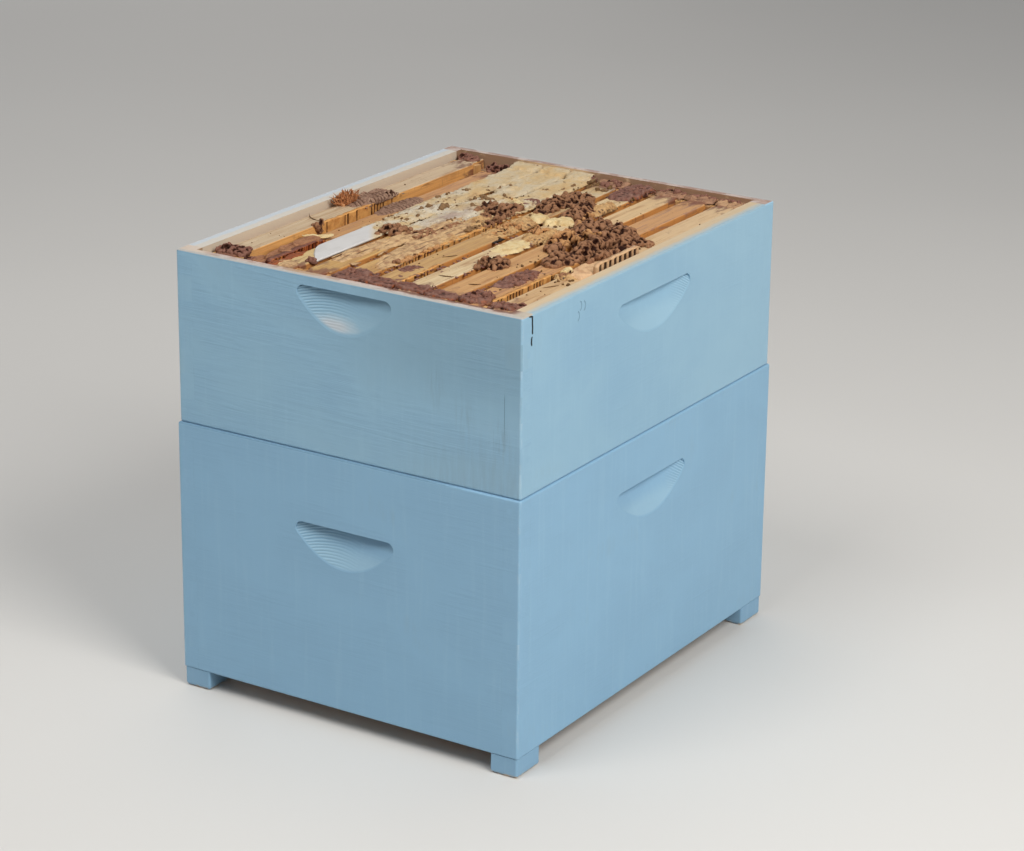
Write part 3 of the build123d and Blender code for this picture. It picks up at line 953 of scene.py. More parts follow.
def unit_ball():
    """Points and triangles of a ball of radius 1."""
    bm = bmesh.new()
    bmesh.ops.create_icosphere(bm, subdivisions=2, radius=1.0)
    bm.verts.index_update()
    points = np.array([v.co for v in bm.verts])
    faces = np.array([[v.index for v in f.verts] for f in bm.faces])
    bm.free()
    return points, faces


BALL_POINTS, BALL_FACES = unit_ball()


def many_balls(places):
    """Points and faces of a ball moved to each of the places, given as matrices."""
    turned = [BALL_POINTS @ np.array(m.to_3x3()).T + np.array(m.translation) for m in places]
    faces = [BALL_FACES + i * len(BALL_POINTS) for i in range(len(places))]
    return np.concatenate(turned), np.concatenate(faces)


def fuse(points, faces, voxel):
    """One closed skin round overlapping lumps."""
    mesh = bpy.data.meshes.new("loose_lumps")
    mesh.from_pydata(points.tolist(), [], faces.tolist())
    loose = bpy.data.objects.new("loose_lumps", mesh)
    bpy.context.scene.collection.objects.link(loose)
    remesh = loose.modifiers.new("fuse", "REMESH")
    remesh.mode = "VOXEL"
    remesh.voxel_size = voxel
    bpy.context.view_layer.update()
    fused = bpy.data.meshes.new_from_object(loose.evaluated_get(bpy.context.evaluated_depsgraph_get()))
    bpy.data.objects.remove(loose)
    return fused


def lumps(name, number, patches, material, seed, pits):
    """Rounded nodules heaped on a bar: patches of (across, along, half width, half length, height, count,
    radius) in mm. Pits is the share of them that have a broken cell."""
    random = np.random.default_rng(seed)
    centre, base = bar_centre(number), bar_level(number)
    balls = []
    for middle_u, middle_v, half_u, half_v, tall, count, radius in patches:
        for _ in range(count):
            angle, reach = random.uniform(0, math.tau), math.sqrt(random.uniform())
            size = radius * random.uniform(0.5, 1.25) * mm
            u = (middle_u + half_u * reach * math.cos(angle)) * mm
            v = (middle_v + half_v * reach * math.sin(angle)) * mm
            u = min(max(u, size - slot_half), slot_half - size)
            rise = tall * mm * (1 - reach**2) * random.uniform(0.1, 1.0)
            turn = Matrix.Rotation(random.uniform(0, math.pi), 4, Vector(random.normal(size=3)))
            stretch = Matrix.Diagonal((1.0, random.uniform(0.7, 1.6), random.uniform(0.6, 1.1), 1.0))
            place = Matrix.Translation((centre + u, v, base + rise))
            balls.append(place @ turn @ stretch @ Matrix.Scale(size, 4))
            if rise > size * 0.5:
                foot = Matrix.Translation((centre + u, v, base + rise * 0.4))
                balls.append(foot @ Matrix.Diagonal((0.7 * size, 0.7 * size, rise * 0.6 + size, 1.0)))
    fused = fuse(*many_balls(balls), 0.8 * mm)
    count = len(fused.vertices)
    points, normals, edges = np.zeros(count * 3), np.zeros(count * 3), np.zeros(len(fused.edges) * 2, int)
    fused.vertices.foreach_get("co", points)
    fused.vertices.foreach_get("normal", normals)
    fused.edges.foreach_get("vertices", edges)
    points, normals, edges = points.reshape(-1, 3), normals.reshape(-1, 3), edges.reshape(-1, 2)
    swell = 1.6 * lattice_noise(points, 4.2 * mm, seed) + 0.9 * lattice_noise(points, 2.0 * mm, seed + 1)
    wobble = 1 + 0.6 * lattice_noise(points, 2.4 * mm, seed + 2)
    pit = np.zeros(count)
    upward = np.flatnonzero((normals[:, 2] > 0.0) & (points[:, 2] > base + 2 * mm))
    for hole in random.choice(upward, min(round(pits * len(balls)), len(upward)), replace=False):
        gap = np.linalg.norm(points - points[hole], axis=1) * wobble
        pit = np.maximum(pit, np.clip(1.2 - gap / (random.uniform(1.8, 4.2) * mm), 0, 1))
    points = points + normals * ((swell * 0.6 * mm) - pit * 3.2 * mm)[:, None]
    # Depth in pits and under the smoothed surface, which the finish paints as shade in hollows and
    # highlight on crests
    depth = np.where(pit > 0, pit * 1.5, hollowness(points, normals, edges) / (0.5 * mm))
    points[:, 0] = np.clip(points[:, 0], centre - slot_half, centre + slot_half)
    points[:, 1] = np.clip(points[:, 1], -crust_reach, crust_reach)
    faces = [list(p.vertices) for p in fused.polygons]
    bpy.data.meshes.remove(fused)
    return make_piece(name, number, points, faces, material, np.clip(depth, -1, 1))


def hollowness(points, normals, edges, rounds=14):
    """How far each point lies under the smoothed surface round it; below 0 it stands out of it."""
    count = len(points)
    ends = np.concatenate([edges[:, 0], edges[:, 1]])
    others = np.concatenate([edges[:, 1], edges[:, 0]])
    degree = np.bincount(ends, minlength=count)
    smooth = points
    for _ in range(rounds):
        axes = [np.bincount(ends, smooth[others, k], count) / degree for k in range(3)]
        smooth = np.stack(axes, 1)
    return ((smooth - points) * normals).sum(1)


def crusts(label, spots_on, material, slot, seed, **shape):
    """A crust on each bar of a table of spots by the bar's number."""
    for number, spots in spots_on.items():
        crust(f"{label}_{number:02d}", number, spots, material, slot, seed + number, **shape)


def heaps(label, patches_on, material, seed, pits):
    """Heaped nodules on each bar of a table of patches by the bar's number."""
    for number, patches in patches_on.items():
        lumps(f"{label}_{number:02d}", number, patches, material, seed + number, pits)


def crumbs(name, number, patches, material, seed):
    """Loose bits on a bar: patches of (across, along, half width, half length, count, size) in mm."""
    random = np.random.default_rng(seed)
    centre, base = bar_centre(number), bar_level(number)
    balls = []
    for middle_u, middle_v, half_u, half_v, count, size in patches:
        for _ in range(count):
            radius = size * random.uniform(0.35, 1.0) * mm
            u = (middle_u + half_u * random.uniform(-1, 1)) * mm
            u = min(max(u, 2 * radius - slot_half), slot_half - 2 * radius)
            v = (middle_v + half_v * random.uniform(-1, 1)) * mm
            turn = Matrix.Rotation(random.uniform(0, math.tau), 4, Vector(random.normal(size=3)))
            size_x, size_y, size_z = radius * random.uniform((0.7, 0.6, 0.5), (1.4, 1.2, 0.9))
            place = Matrix.Translation((centre + u, v, base + radius * 0.3))
            balls.append(place @ turn @ Matrix.Diagonal((size_x, size_y, size_z, 1.0)))
    points, faces = many_balls(balls)
    middles = np.repeat([m.translation for m in balls], len(BALL_POINTS), axis=0)
    points = middles + (points - middles) * random.uniform(0.75, 1.2, (len(points), 1))
    return make_piece(name, number, points, faces, material)


def comb(number, material):
    """Drawn comb of hexagonal cells on both faces of a frame, mostly capped, with a ragged lower edge."""
    node = f"super_comb_{number:02d}"
    low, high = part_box(node)
    centre, half = (low.x + high.x) / 2, (high.x - low.x) / 2
    radius = cell_pitch / math.sqrt(3)
    row_step = 1.5 * radius
    rows = int((high.z - low.z) / row_step) + 1
    columns = int((high.y - low.y) / cell_pitch) + 2
    row, column = np.meshgrid(np.arange(rows), np.arange(columns), indexing="ij")
    y = (low.y + (column + 0.5 * (row % 2)) * cell_pitch).ravel()
    z = (high.z - radius * 0.4 - row * row_step).ravel()
    span = (high.y - low.y) / 2
    along = np.stack([y, np.zeros(y.size), np.full(y.size, number * 0.1)], 1)
    ragged = low.z + 4 * mm + 7 * mm * lattice_noise(along, 28 * mm, number)
    ragged = ragged + 46 * mm * np.clip((np.abs(y) - span + 26 * mm) / (26 * mm), 0, 1) ** 3
    kept = (np.abs(y) < span) & (z > ragged)
    y, z = y[kept], z[kept]
    spot = np.stack([y, z, np.full(y.size, 0.37 * number)], 1)

    angles = np.radians(30 + 60 * np.arange(6))

    def ring(share):
        """Six corners of each cell, drawn in to that share of its radius."""
        return y[:, None] + share * radius * np.cos(angles), z[:, None] + share * radius * np.sin(angles)

    corner_y, corner_z = ring(1.0)
    keys = np.round(np.stack([corner_y.ravel(), corner_z.ravel()], 1) / (0.02 * mm)).astype(int)
    _, first, shared = np.unique(keys // 3, axis=0, return_index=True, return_inverse=True)
    shared = shared.reshape(-1, 6)
    rim_y, rim_z = corner_y.ravel()[first], corner_z.ravel()[first]
    points, faces, depths = [], [], []
    start = 0
    sheets = []
    for face_side in (1, -1):
        rim_spot = np.stack([rim_y, rim_z, np.full(rim_y.size, face_side * 0.9)], 1)
        bulge = lattice_noise(rim_spot, 34 * mm, number)
        rim_x = centre + face_side * (half - 0.8 * mm + 0.7 * mm * bulge)
        sealed = lattice_noise(spot + face_side, 42 * mm, number + 30)
        capped = sealed + (z - low.z) / (high.z - low.z) * 1.5 > 0.45
        inner_y, inner_z = ring(0.85)
        cell_x = rim_x[shared].mean(1)
        floor_x = np.where(capped, cell_x + face_side * 0.25 * mm, cell_x - face_side * 9.5 * mm)
        deep_y, deep_z = ring(np.where(capped, 0.5, 0.8)[:, None])
        count = len(y)
        tip_x = np.where(capped, cell_x + face_side * 0.5 * mm, floor_x - face_side * 1.2 * mm)
        points += [
            np.stack([rim_x, rim_y, rim_z], 1),
            np.stack([np.repeat(cell_x, 6), inner_y.ravel(), inner_z.ravel()], 1),
            np.stack([np.repeat(floor_x, 6), deep_y.ravel(), deep_z.ravel()], 1),
            np.stack([tip_x, y, z], 1),
        ]
        floor_depth = np.where(capped, 0.0, 1.0)
        depths += [np.zeros(len(rim_y)), np.zeros(count * 6), np.repeat(floor_depth, 6), floor_depth]
        rims = shared + start
        inner = np.arange(count * 6).reshape(-1, 6) + start + len(rim_y)
        deep = inner + count * 6
        tip = np.arange(count) + start + len(rim_y) + count * 12
        for k in range(6):
            n = (k + 1) % 6
            loop = [
                np.stack([rims[:, k], rims[:, n], inner[:, n], inner[:, k]], 1),
                np.stack([inner[:, k], inner[:, n], deep[:, n], deep[:, k]], 1),
                np.stack([deep[:, k], deep[:, n], tip], 1),
            ]
            faces += [part if face_side > 0 else part[:, ::-1] for part in loop]
        sheets.append(rims)
        start += len(rim_y) + count * 13
    edges = np.concatenate([np.stack([sheets[0][:, k], sheets[0][:, (k + 1) % 6]], 1) for k in range(6)])
    taken = {tuple(e) for e in edges}
    border = np.array([e for e in edges if (e[1], e[0]) not in taken])
    across = sheets[1].min() - sheets[0].min()
    faces.append(np.stack([border[:, 1], border[:, 0], border[:, 0] + across, border[:, 1] + across], 1))
    rows_of_faces = [list(f) for part in faces for f in part]
    points, depths = np.concatenate(points), np.concatenate(depths)
    name = f"drawn_comb_{number:02d}"
    piece = make_piece(name, number, points, rows_of_faces, material, depths)
    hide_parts(node)
    return piece


def dress(node, material):
    """Gives a CAD node's slots a finish."""
    for slot in nodes[node].material_slots:
        slot.material = material


# Boxes, feet and nails
for box_name in BOXES:
    for side in SIDES:
        node = f"{box_name}_{side}_wall"
        dress(node, painted_board(node, side, f"{box_name}_{side}_paint"))
foot_paint = painted_foot("foot_paint")
body_heads, super_heads = (nail_head(f"{box_name}_nail_paint", box_name == "super") for box_name in BOXES)
for node in nodes:
    if node.endswith("_nails"):
        dress(node, super_heads if node.startswith("super") else body_heads)
    elif node.startswith("foot_"):
        dress(node, foot_paint)

# Frames: each top bar has its own light wood, dark grain and tone towards the far end
BAR_TONES = {
    1: (linear(200, 180, 150), linear(178, 150, 116), linear(196, 172, 142)),
    2: (linear(194, 150, 100), linear(166, 116, 70), linear(196, 148, 106)),
    3: (linear(206, 180, 128), linear(178, 142, 88), linear(206, 180, 134)),
    4: (linear(202, 166, 104), linear(174, 130, 74), linear(202, 170, 118)),
    5: (linear(198, 160, 102), linear(170, 126, 74), linear(200, 170, 120)),
    6: (linear(198, 162, 108), linear(172, 130, 80), linear(202, 176, 132)),
    7: (linear(216, 196, 158), linear(194, 164, 120), linear(206, 176, 130)),
    8: (linear(202, 160, 108), linear(176, 126, 78), linear(216, 192, 150)),
    9: (linear(198, 150, 100), linear(170, 120, 74), linear(196, 150, 104)),
    10: (linear(208, 178, 136), linear(186, 148, 102), linear(206, 178, 140)),
}
frame_wood = plain_wood("frame_wood", "Z", linear(206, 164, 108), linear(176, 126, 74), 5.0)
brood_wood = plain_wood("brood_wood", "Y", linear(178, 134, 86), linear(134, 92, 56), 9.0)
honey_wax = comb_wax("honey_wax", linear(226, 194, 128), linear(198, 142, 66), linear(104, 58, 22))
for number in NUMBERS:
    dress(f"super_top_bar_{number:02d}", bar_wood(number, *BAR_TONES[number], f"bar_wood_{number:02d}"))
    dress(f"super_frame_{number:02d}", frame_wood)
    dress(f"brood_frame_{number:02d}", brood_wood)
    comb(number, honey_wax)
dress("floor_panel", brood_wood)
dress("brood_combs", cell_bump_wax("brood_comb_wax", linear(120, 80, 44), linear(58, 36, 22)))

# Deposits on the bars
propolis = propolis_finish("propolis")
burr = burr_finish("burr_comb", linear(92, 58, 38), linear(166, 122, 90), linear(42, 16, 6))
tan_burr = burr_finish("tan_burr_comb", linear(150, 100, 62), linear(202, 154, 104), linear(52, 26, 12))
glue_lump = burr_finish("propolis_lumps", linear(102, 62, 50), linear(144, 104, 88), linear(50, 23, 13))
grey_comb = burr_finish("grey_comb", linear(140, 108, 90), linear(172, 142, 120), linear(78, 52, 38))
orange_comb = burr_finish("orange_comb", linear(178, 114, 72), linear(208, 154, 108), linear(100, 56, 32))
olive_lump = burr_finish("olive_lumps", linear(108, 80, 52), linear(140, 110, 78), linear(64, 40, 24))
mould = mould_finish("mouldy_wax")
bleached = white_finish("bleached_wax")
pale_wax = pale_wax_finish("pale_wax", linear(218, 196, 148), linear(200, 168, 114))
old_wax = pale_wax_finish("old_wax", linear(194, 156, 106), linear(154, 112, 68))
torn_wax = pale_wax_finish("torn_wax", linear(198, 164, 120), linear(146, 108, 76), linear(92, 60, 42))
band_wax = pale_wax_finish("band_wax", linear(158, 118, 90), linear(120, 84, 64))
brown_wax = pale_wax_finish("brown_wax", linear(182, 144, 108), linear(150, 112, 82))
amber_wax = pale_wax_finish("amber_wax", linear(218, 162, 94), linear(184, 124, 66), linear(84, 48, 26))
ledge_wax = pale_wax_finish("ledge_wax", linear(214, 176, 134), linear(188, 144, 106))
rust_wax = rust_finish("rust_wax", PROPOLIS)
rust_stain = rust_finish("rust_stain", linear(136, 72, 38))
chunk_wax = burr_finish("chunk_wax", linear(150, 104, 76), linear(172, 126, 92), linear(104, 62, 38))
# Near-black wax used as a painted shadow in a deep gap
painted_shadow_wax = pale_wax_finish("painted_shadow_wax", linear(34, 24, 18), linear(24, 16, 12))
dark_bits = burr_finish("dark_bits", linear(108, 80, 50), linear(140, 108, 74), linear(60, 40, 26))

# Flat propolis, a thick chunk of it and a rust stain
propolis_spots = {
    5: [(0, -205, 16, 19, 2.2), (4, 112, 9, 14, 1.2)],
    6: [(0, -213, 19, 11, 2.6), (-3, -160, 8, 11, 0.8)],
    7: [(0, -211, 19, 11, 2.6), (0, 206, 15, 33, 3.0)],
    8: [(-2, -214, 18, 9, 2.2)],
    9: [(-4, -203, 14, 18, 3.0), (-6, -130, 11, 34, 2.0)],
    10: [(0, -212, 17, 8, 2.0)],
}
crusts("propolis", propolis_spots, propolis, "brood_wax", seed=40, edge=3.0, rough=1.5, power=3)
chunk = [(-3, -206, 12, 12, 4.5), (5, -186, 10, 18, 6.5), (6, -162, 10, 20, 8.5), (6, -142, 9, 20, 10.0)]
crust("propolis_chunk_02", 2, chunk, chunk_wax, "brood_wax", seed=42,
      edge=3.0, rough=0.7, power=4, dark=0.5, stretch=3.0)
crust("rust_stain_03", 3, [(-13, -200, 6, 30, 0.9)], rust_stain, "brood_wax", seed=43,
      edge=2.0, rough=0.8, power=3)

# Wax that closes the gap between the far lugs and the back wall
lug_spots = [(0, 230, 18.5, 11, 1.8)]
lug_shape = {"edge": 2.4, "rough": 1.6, "power": 3, "dark": 0.6}
crusts("lug_wax", dict.fromkeys((6, 8, 9), lug_spots), band_wax, "brood_wax", seed=50, **lug_shape)
crusts("lug_wax", {10: lug_spots}, brown_wax, "brood_wax", seed=50, **lug_shape)

# Propolis in lumps on the lugs
glue_patches = {
    1: [(-5, -207, 13, 13, 4, 60, 3.0), (8, -204, 7, 10, 4, 22, 2.6), (14, -208, 3, 9, -7, 34, 2.6),
        (-4, 229, 13, 9, 4, 34, 3.0)],
    2: [(-11, -214, 6, 9, 6, 34, 2.6), (4, -214, 11, 8, 4, 30, 2.6), (2, 227, 14, 10, 7, 40, 3.2)],
    3: [(12, -192, 4, 5, 3, 22, 3.0), (8, 233, 9, 5, 3, 10, 2.4)],
    5: [(-2, -206, 13, 15, 2, 26, 2.4), (10, 233, 8, 5, 3, 8, 2.2)],
    6: [(-4, -212, 14, 9, 2, 18, 2.2), (0, 226, 14, 11, 3, 34, 2.6)],
    7: [(2, 214, 14, 24, 3, 60, 2.6), (15, -201, 3, 4, 3, 6, 2.2)],
    8: [(0, 233, 16, 5, 4, 30, 2.4)],
    9: [(-4, -203, 14, 17, 4, 60, 3.0), (-4, -128, 12, 30, 2, 50, 2.4), (0, 234, 16, 4, 4, 26, 2.4)],
    10: [(-6, -212, 11, 8, 3, 26, 2.6), (9, -207, 7, 7, 3, 16, 2.6), (0, 235, 16, 4, 3, 20, 2.2)],
}
heaps("propolis_lumps", glue_patches, glue_lump, seed=60, pits=0.05)

# Mouldy wax, and smoother wax towards the far ends of the same bars
mould_spots = {
    3: [(0, 45, 20, 96, 1.8), (2, -50, 17, 24, 1.6)],
    4: [(0, 45, 20, 92, 2.0), (-4, 145, 12, 18, 3.6), (-6, -36, 12, 30, 1.6)],
    5: [(-2, 106, 19, 50, 1.6), (-4, 30, 15, 50, 1.4)],
}
crusts("mouldy_wax", mould_spots, mould, "honey_wax", seed=70, edge=1.0, rough=0.9)
far_spots = {
    3: [(0, 174, 17.6, 64, 1.6), (-1, 230, 18, 13, 4.2)],
    4: [(0, 178, 17.8, 60, 1.8), (0, 230, 18, 13, 4.6)],
    5: [(-2, 186, 16.5, 52, 1.6), (-5, 230, 15, 13, 4.4)],
}
crusts("far_wax", far_spots, mould, "honey_wax", seed=76, edge=3.0, rough=0.35, power=4)

# Brown nodules strewn over the mouldy wax
nodules = {
    3: [(-6, -15, 2, 3, 3, 4, 1.8), (5, -18, 3, 5, 3, 6, 1.9), (-5, 0, 2, 2, 3, 3, 1.7),
        (8, 0, 3, 6, 4, 8, 2.0), (-4, 23, 3, 4, 4, 6, 2.1), (0, 37, 4, 7, 4, 8, 1.9),
        (14, 44, 3, 10, 4, 16, 2.2), (-13, 74, 2, 3, 3, 4, 1.8), (-13, 89, 2, 6, 3, 6, 1.8),
        (4, 101, 3, 6, 3, 6, 1.7), (-4, 115, 3, 4, 3, 5, 1.6), (14, 128, 2, 4, 3, 5, 1.8),
        (9, 136, 2, 3, 3, 3, 1.6), (2, 62, 12, 30, 3, 12, 1.5)],
    4: [(0, 68, 6, 8, 4, 12, 2.0), (-15, 87, 2, 5, 3, 5, 1.8), (-9, 97, 3, 6, 4, 9, 2.0),
        (-14, 138, 2, 4, 4, 5, 1.8), (-10, 156, 2, 3, 4, 3, 1.7), (12, 6, 4, 12, 3, 10, 1.8),
        (0, 110, 13, 30, 3, 12, 1.5)],
    5: [(9, -16, 4, 6, 5, 16, 2.2), (8, -5, 4, 6, 4, 12, 1.9), (5, 9, 5, 7, 5, 16, 2.0),
        (-10, 163, 4, 6, 3, 7, 1.8), (6, 174, 3, 8, 2, 6, 1.6), (9, 196, 3, 9, 2, 8, 1.7),
        (13, 226, 3, 5, 4, 6, 1.8)],
    6: [(-13, 213, 3, 6, 2, 6, 1.7), (7, 200, 4, 6, 2, 7, 1.7)],
}
heaps("nodules", nodules, olive_lump, seed=90, pits=0.0)

# Comb torn off along the bars, open cells, and pale wax
torn_spots = {
    4: [(0, -120, 14, 56, 1.2), (6, -72, 12, 34, 2.6), (12, -20, 7, 44, 2.4)],
    5: [(0, -90, 17, 66, 2.0), (-4, -20, 16, 46, 2.6), (6, -146, 11, 28, 1.2)],
}
crusts("torn_comb", torn_spots, torn_wax, "honey_wax", seed=80, edge=1.4, rough=1.8, dark=0.75, stretch=5.0)
cell_spots = {
    5: [(-1, 18, 15, 26, 3.0), (8, -60, 8, 40, 1.6)],
    6: [(3, 36, 15, 34, 3.2), (0, 0, 13, 24, 2.4)],
    7: [(4, 14, 15, 30, 3.2), (9, 130, 10, 26, 5.5)],
    8: [(-10, 6, 8, 18, 3.0)],
    10: [(-5, -97, 12, 11, 3.4)],
}
crusts("open_cells", cell_spots, old_wax, "honey_wax", seed=20, edge=1.6, rough=1.6, cells=2.6, dark=0.7)
wax_spots = {
    6: [(8, 62, 10, 12, 4.4)],
    7: [(2, -38, 15, 28, 1.2), (2, 66, 12, 10, 5.0), (-10, 60, 7, 12, 4.0)],
}
wax_shape = {"edge": 2.2, "rough": 0.7, "dark": 0.4}
crusts("wax", wax_spots, pale_wax, "honey_wax", seed=160, **wax_shape)
wax_spots = {10: [(-6, -56, 11, 22, 1.2), (5, -86, 12, 13, 5.0)]}
crusts("wax", wax_spots, ledge_wax, "honey_wax", seed=160, **wax_shape)
crust("wax_03", 3, [(-2, -212, 13, 11, 1.0)], torn_wax, "honey_wax", seed=163,
      edge=2.2, rough=1.4, stretch=3.0)
# A near-black patch beside bar 6, a painted shadow in the gap between bars 6 and 7
crust("painted_shadow_06", 6, [(15.5, -25, 3, 9, 0.4)], painted_shadow_wax, "brood_wax", seed=31, edge=2.0, rough=0.3)

# Burr comb, dark and tan
burr_patches = {
    1: [(13.5, -80, 3, 7, 3, 18, 2.6), (14.5, -80, 2, 7, -10, 26, 2.8)],
    3: [(13, -60, 5, 20, 6, 34, 3.0)],
    4: [(-7, -62, 9, 16, 7, 44, 3.2), (12, -50, 6, 26, 3, 50, 2.4), (12, 72, 6, 20, 5, 26, 2.8)],
    5: [(-2, 62, 15, 27, 6, 76, 3.4), (5, 84, 9, 10, 6, 24, 3.2), (14, 30, 4, 22, 4, 32, 3.0),
        (-13, -30, 5, 44, 3, 64, 2.2), (13, -150, 4, 5, 3, 8, 2.4)],
    6: [(-4, 124, 14, 44, 8, 130, 3.6), (6, 150, 10, 20, 6, 40, 3.2)],
    7: [(-4, 108, 14, 34, 9, 110, 3.8), (13, -102, 4, 24, 7, 34, 2.8), (10, 84, 8, 14, 6, 26, 3.2)],
    8: [(2, 56, 16, 32, 10, 100, 4.4), (10, -26, 7, 12, 9, 34, 3.6), (-8, -102, 9, 16, 7, 40, 3.0)],
    9: [(-3, -58, 14, 20, 9, 64, 4.2), (6, 0, 11, 46, 14, 130, 5.0), (0, 52, 16, 26, 11, 80, 4.6)],
    10: [(-9, 26, 9, 28, 11, 64, 4.6), (-13, -20, 5, 26, 7, 40, 3.4), (-8, -94, 9, 9, 4, 24, 2.6),
         (2, 44, 8, 8, 5, 14, 3.0)],
}
heaps("burr_comb", burr_patches, burr, seed=100, pits=0.05)
tan_patches = {
    5: [(15, -112, 3, 40, 2, 44, 2.2)],
    6: [(3, 14, 12, 26, 5, 70, 2.4)],
    7: [(14, 88, 4, 16, 6, 16, 3.0), (2, 20, 13, 18, 6, 44, 2.6)],
    8: [(2, 6, 14, 24, 12, 100, 4.0), (-12, 60, 5, 16, 8, 20, 3.2)],
    9: [(-10, 4, 7, 20, 16, 70, 4.0), (0, 12, 8, 9, 18, 20, 3.4)],
}
heaps("tan_burr_comb", tan_patches, tan_burr, seed=130, pits=0.06)

# Torn comb on the two left bars, and pale nodules among the dark ones
crust("grey_comb_01", 1, [(1, 30, 17, 38, 4.0)], grey_comb, "brood_wax", seed=11,
      edge=2.4, rough=1.4, rib=True, dark=0.5)
crust("grey_comb_02", 2, [(-6, 44, 13, 42, 2.4)], grey_comb, "brood_wax", seed=12,
      edge=2.0, rough=0.8, rib=True, dark=0.5)
lumps("comb_knob_01", 1, [(13, 54, 4, 12, 6, 30, 2.6)], grey_comb, seed=13, pits=0.2)
lumps("pale_nodules_09", 9, [(0, -32, 2, 2, 15, 4, 3.2)], pale_wax, seed=15, pits=0.0)
lumps("pale_nodules_10", 10, [(-13, -87, 2, 3, 7, 6, 4.0)], pale_wax, seed=16, pits=0.0)

# Walls of torn cells along the right sides of bars, with the share of cells that are open and their pitch
ledges = {
    1: ((-76, 62), (11, 16), (-15, 0.2), amber_wax, 0.45, 5.4),
    2: ((-216, -124), (9.5, 17.6), (-10, 8.6), rust_wax, 0.8, 6.2),
    5: ((-156, 30), (11, 16.5), (-10, 0.4), amber_wax, 0.6, 5.4),
    6: ((-196, -126), (11, 15.5), (-9, 0.2), amber_wax, 0.7, 5.4),
    9: ((-204, -96), (11, 16), (-10, 0.4), amber_wax, 0.7, 5.4),
    10: ((-77, 6), (12.4, 18), (-8, 12.0), ledge_wax, 1.0, 9.6),
}
for number, (reach, across, height, wax, openness, pitch) in ledges.items():
    name = f"cell_wall_{number:02d}"
    cell_ledge(name, number, reach, across, height, wax, 180 + number, openness, pitch)

# A bleached tongue of wax, and two loose flakes
wax_slab("bleached_slab_03", 3, (-174, -54), (-13.5, 18.1), bleached, height=1.6, skew=46)
flake("wax_curl_02", 2, (-4, -106), (6, 16), pale_wax, lift=3, curl=1.5, turn=-50, seed=5)
flake("wax_flap_05", 5, (2, 93), (4, 15), pale_wax, lift=4, curl=2, turn=48, seed=6)

# Loose bits
specks = {
    1: [(0, 100, 12, 100, 4, 0.9), (0, -120, 12, 70, 4, 0.9)],
    2: [(2, -60, 12, 60, 8, 0.9)],
    3: [(0, 30, 17, 100, 14, 1.8), (4, 10, 14, 60, 8, 2.4)],
    4: [(0, 40, 17, 100, 16, 1.8), (0, 20, 17, 70, 8, 2.4)],
    5: [(0, 60, 17, 110, 16, 1.8), (0, -140, 13, 50, 8, 1.2), (4, 205, 12, 22, 12, 2.6)],
    6: [(0, -60, 14, 100, 10, 1.1), (4, 30, 14, 50, 12, 2.0), (-4, 205, 12, 24, 14, 2.8)],
    7: [(4, 20, 14, 44, 10, 2.0), (12, 190, 5, 40, 10, 2.2)],
    8: [(0, 0, 14, 150, 8, 1.0), (10, -60, 7, 40, 12, 2.0)],
    9: [(0, -150, 14, 60, 14, 1.6)],
    10: [(0, 60, 13, 130, 6, 0.8), (0, -150, 13, 60, 10, 1.1), (2, -100, 12, 20, 16, 2.0)],
}
for number, patches in specks.items():
    crumbs(f"crumbs_{number:02d}", number, patches, dark_bits, 200 + number)
splinters = {
    1: [(-17, -54, 0.6), (-9, -64, 0.9), (0, -69, 0.5), (8, -69, 0.2)],
    4: [(-13, -168, 0.1), (-6, -150, 0.2), (-3, -140, 0.1), (1, -131, 0.2)],
    6: [(2, -108, 0.2), (8, -101, 0.6), (11, -94, 0.2)],
    7: [(-4, -161, 0.2), (3, -162, 0.8), (9, -160, 0.6), (12, -157, 0.1)],
    8: [(0, -170, 0.2), (6, -169, 0.8), (11, -164, 0.2)],
    10: [(-7, -140, 0.2), (-2, -132, 0.5), (2, -124, 0.2)],
}
for number, route in splinters.items():
    fibres(f"splinter_{number:02d}", number, [route], dark_bits, thickness=1.1)
tuft("orange_tuft_01", 1, (-9, 1), (4, 12), orange_comb, tall=15, count=170, seed=14)
lumps("orange_comb_01", 1, [(-9, 2, 6, 16, 9, 70, 2.0)], orange_comb, seed=17, pits=0.1)


# Stage: a pale floor, soft studio light and the camera
def lay_floor():
    bm = bmesh.new()
    bmesh.ops.create_grid(bm, x_segments=1, y_segments=1, size=12.0)
    mesh = bpy.data.meshes.new("studio_floor")
    bm.to_mesh(mesh)
    bm.free()
    floor = bpy.data.objects.new("studio_floor", mesh)
    finish = Finish("studio_floor")
    tone = finish.noise((900, 900, 900), 2.0)
    mesh.materials.append(finish.done(finish.mix(linear(214, 212, 208), linear(222, 220, 216), tone), 0.8))
    bpy.context.scene.collection.objects.link(floor)


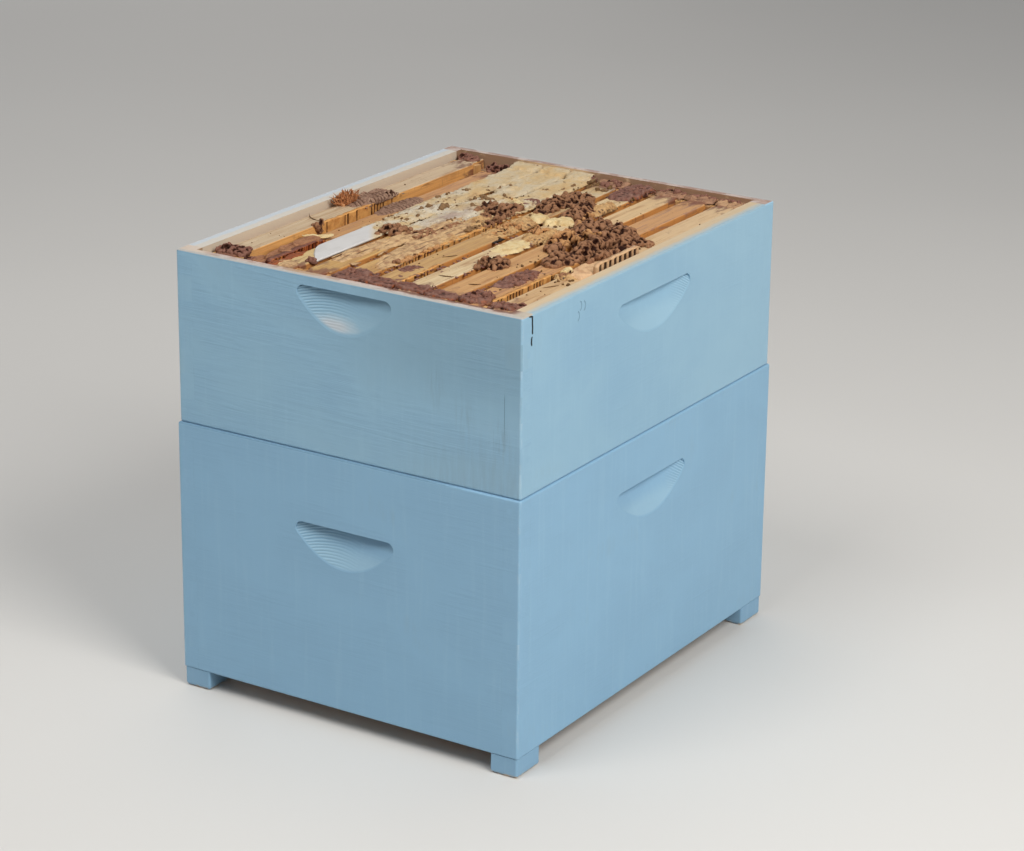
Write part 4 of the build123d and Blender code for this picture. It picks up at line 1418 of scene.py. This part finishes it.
def hang_lamp(name, place, aim, size, power, colour):
    """A soft lamp of that width and height in metres."""
    data = bpy.data.lights.new(name, "AREA")
    data.shape = "RECTANGLE"
    data.size, data.size_y = size
    data.energy = power
    data.color = colour
    lamp = bpy.data.objects.new(name, data)
    lamp.location = place
    lamp.rotation_euler = (Vector(aim) - Vector(place)).to_track_quat("-Z", "Y").to_euler()
    lamp.visible_camera = False
    bpy.context.scene.collection.objects.link(lamp)


def light_studio():
    world = bpy.data.worlds.new("studio_world")
    bpy.context.scene.world = world
    world.use_nodes = True
    background = world.node_tree.nodes["Background"]
    background.inputs["Color"].default_value = (0.94, 0.96, 1.0, 1.0)
    background.inputs["Strength"].default_value = 0.22
    middle, warm = (0.0, 0.0, 0.3), (1.0, 0.98, 0.95)
    hang_lamp("key_lamp", (2.5, -0.9, 2.5), middle, (1.6, 1.6), power=84.0, colour=warm)
    hang_lamp("front_lamp", (-0.3, -1.7, 3.1), middle, (1.4, 1.4), power=36.0, colour=(1.0, 0.98, 0.96))
    hang_lamp("top_lamp", (-0.6, 0.8, 3.0), middle, (2.2, 2.2), power=18.0, colour=warm)
    hang_lamp("back_lamp", (-4.6, 5.2, 0.28), (0.0, 0.0, 0.28), (3.0, 0.36), power=100.0, colour=warm)


def place_camera():
    """The photograph's angle: azimuth, elevation and roll about a point on the hive's middle plane."""
    azimuth, elevation, roll = (math.radians(a) for a in (32.245, 19.617, 0.607))
    aim = Vector((0.0369, 0.0, 0.2624))
    distance = 3.2996
    flat = math.cos(elevation)
    back = Vector((math.sin(azimuth) * flat, -math.cos(azimuth) * flat, math.sin(elevation)))
    level = Vector((math.cos(azimuth), math.sin(azimuth), 0.0))
    upright = back.cross(level)
    right = level * math.cos(roll) + upright * math.sin(roll)
    up = upright * math.cos(roll) - level * math.sin(roll)
    data = bpy.data.cameras.new("camera")
    data.sensor_width = 36.0
    data.lens = 110.79
    camera = bpy.data.objects.new("camera", data)
    turn = Matrix((right, up, back)).transposed().to_4x4()
    camera.matrix_world = Matrix.Translation(aim + back * distance) @ turn
    bpy.context.scene.collection.objects.link(camera)
    bpy.context.scene.camera = camera


lay_floor()
light_studio()
place_camera()
bpy.context.scene.view_settings.view_transform = "Standard"
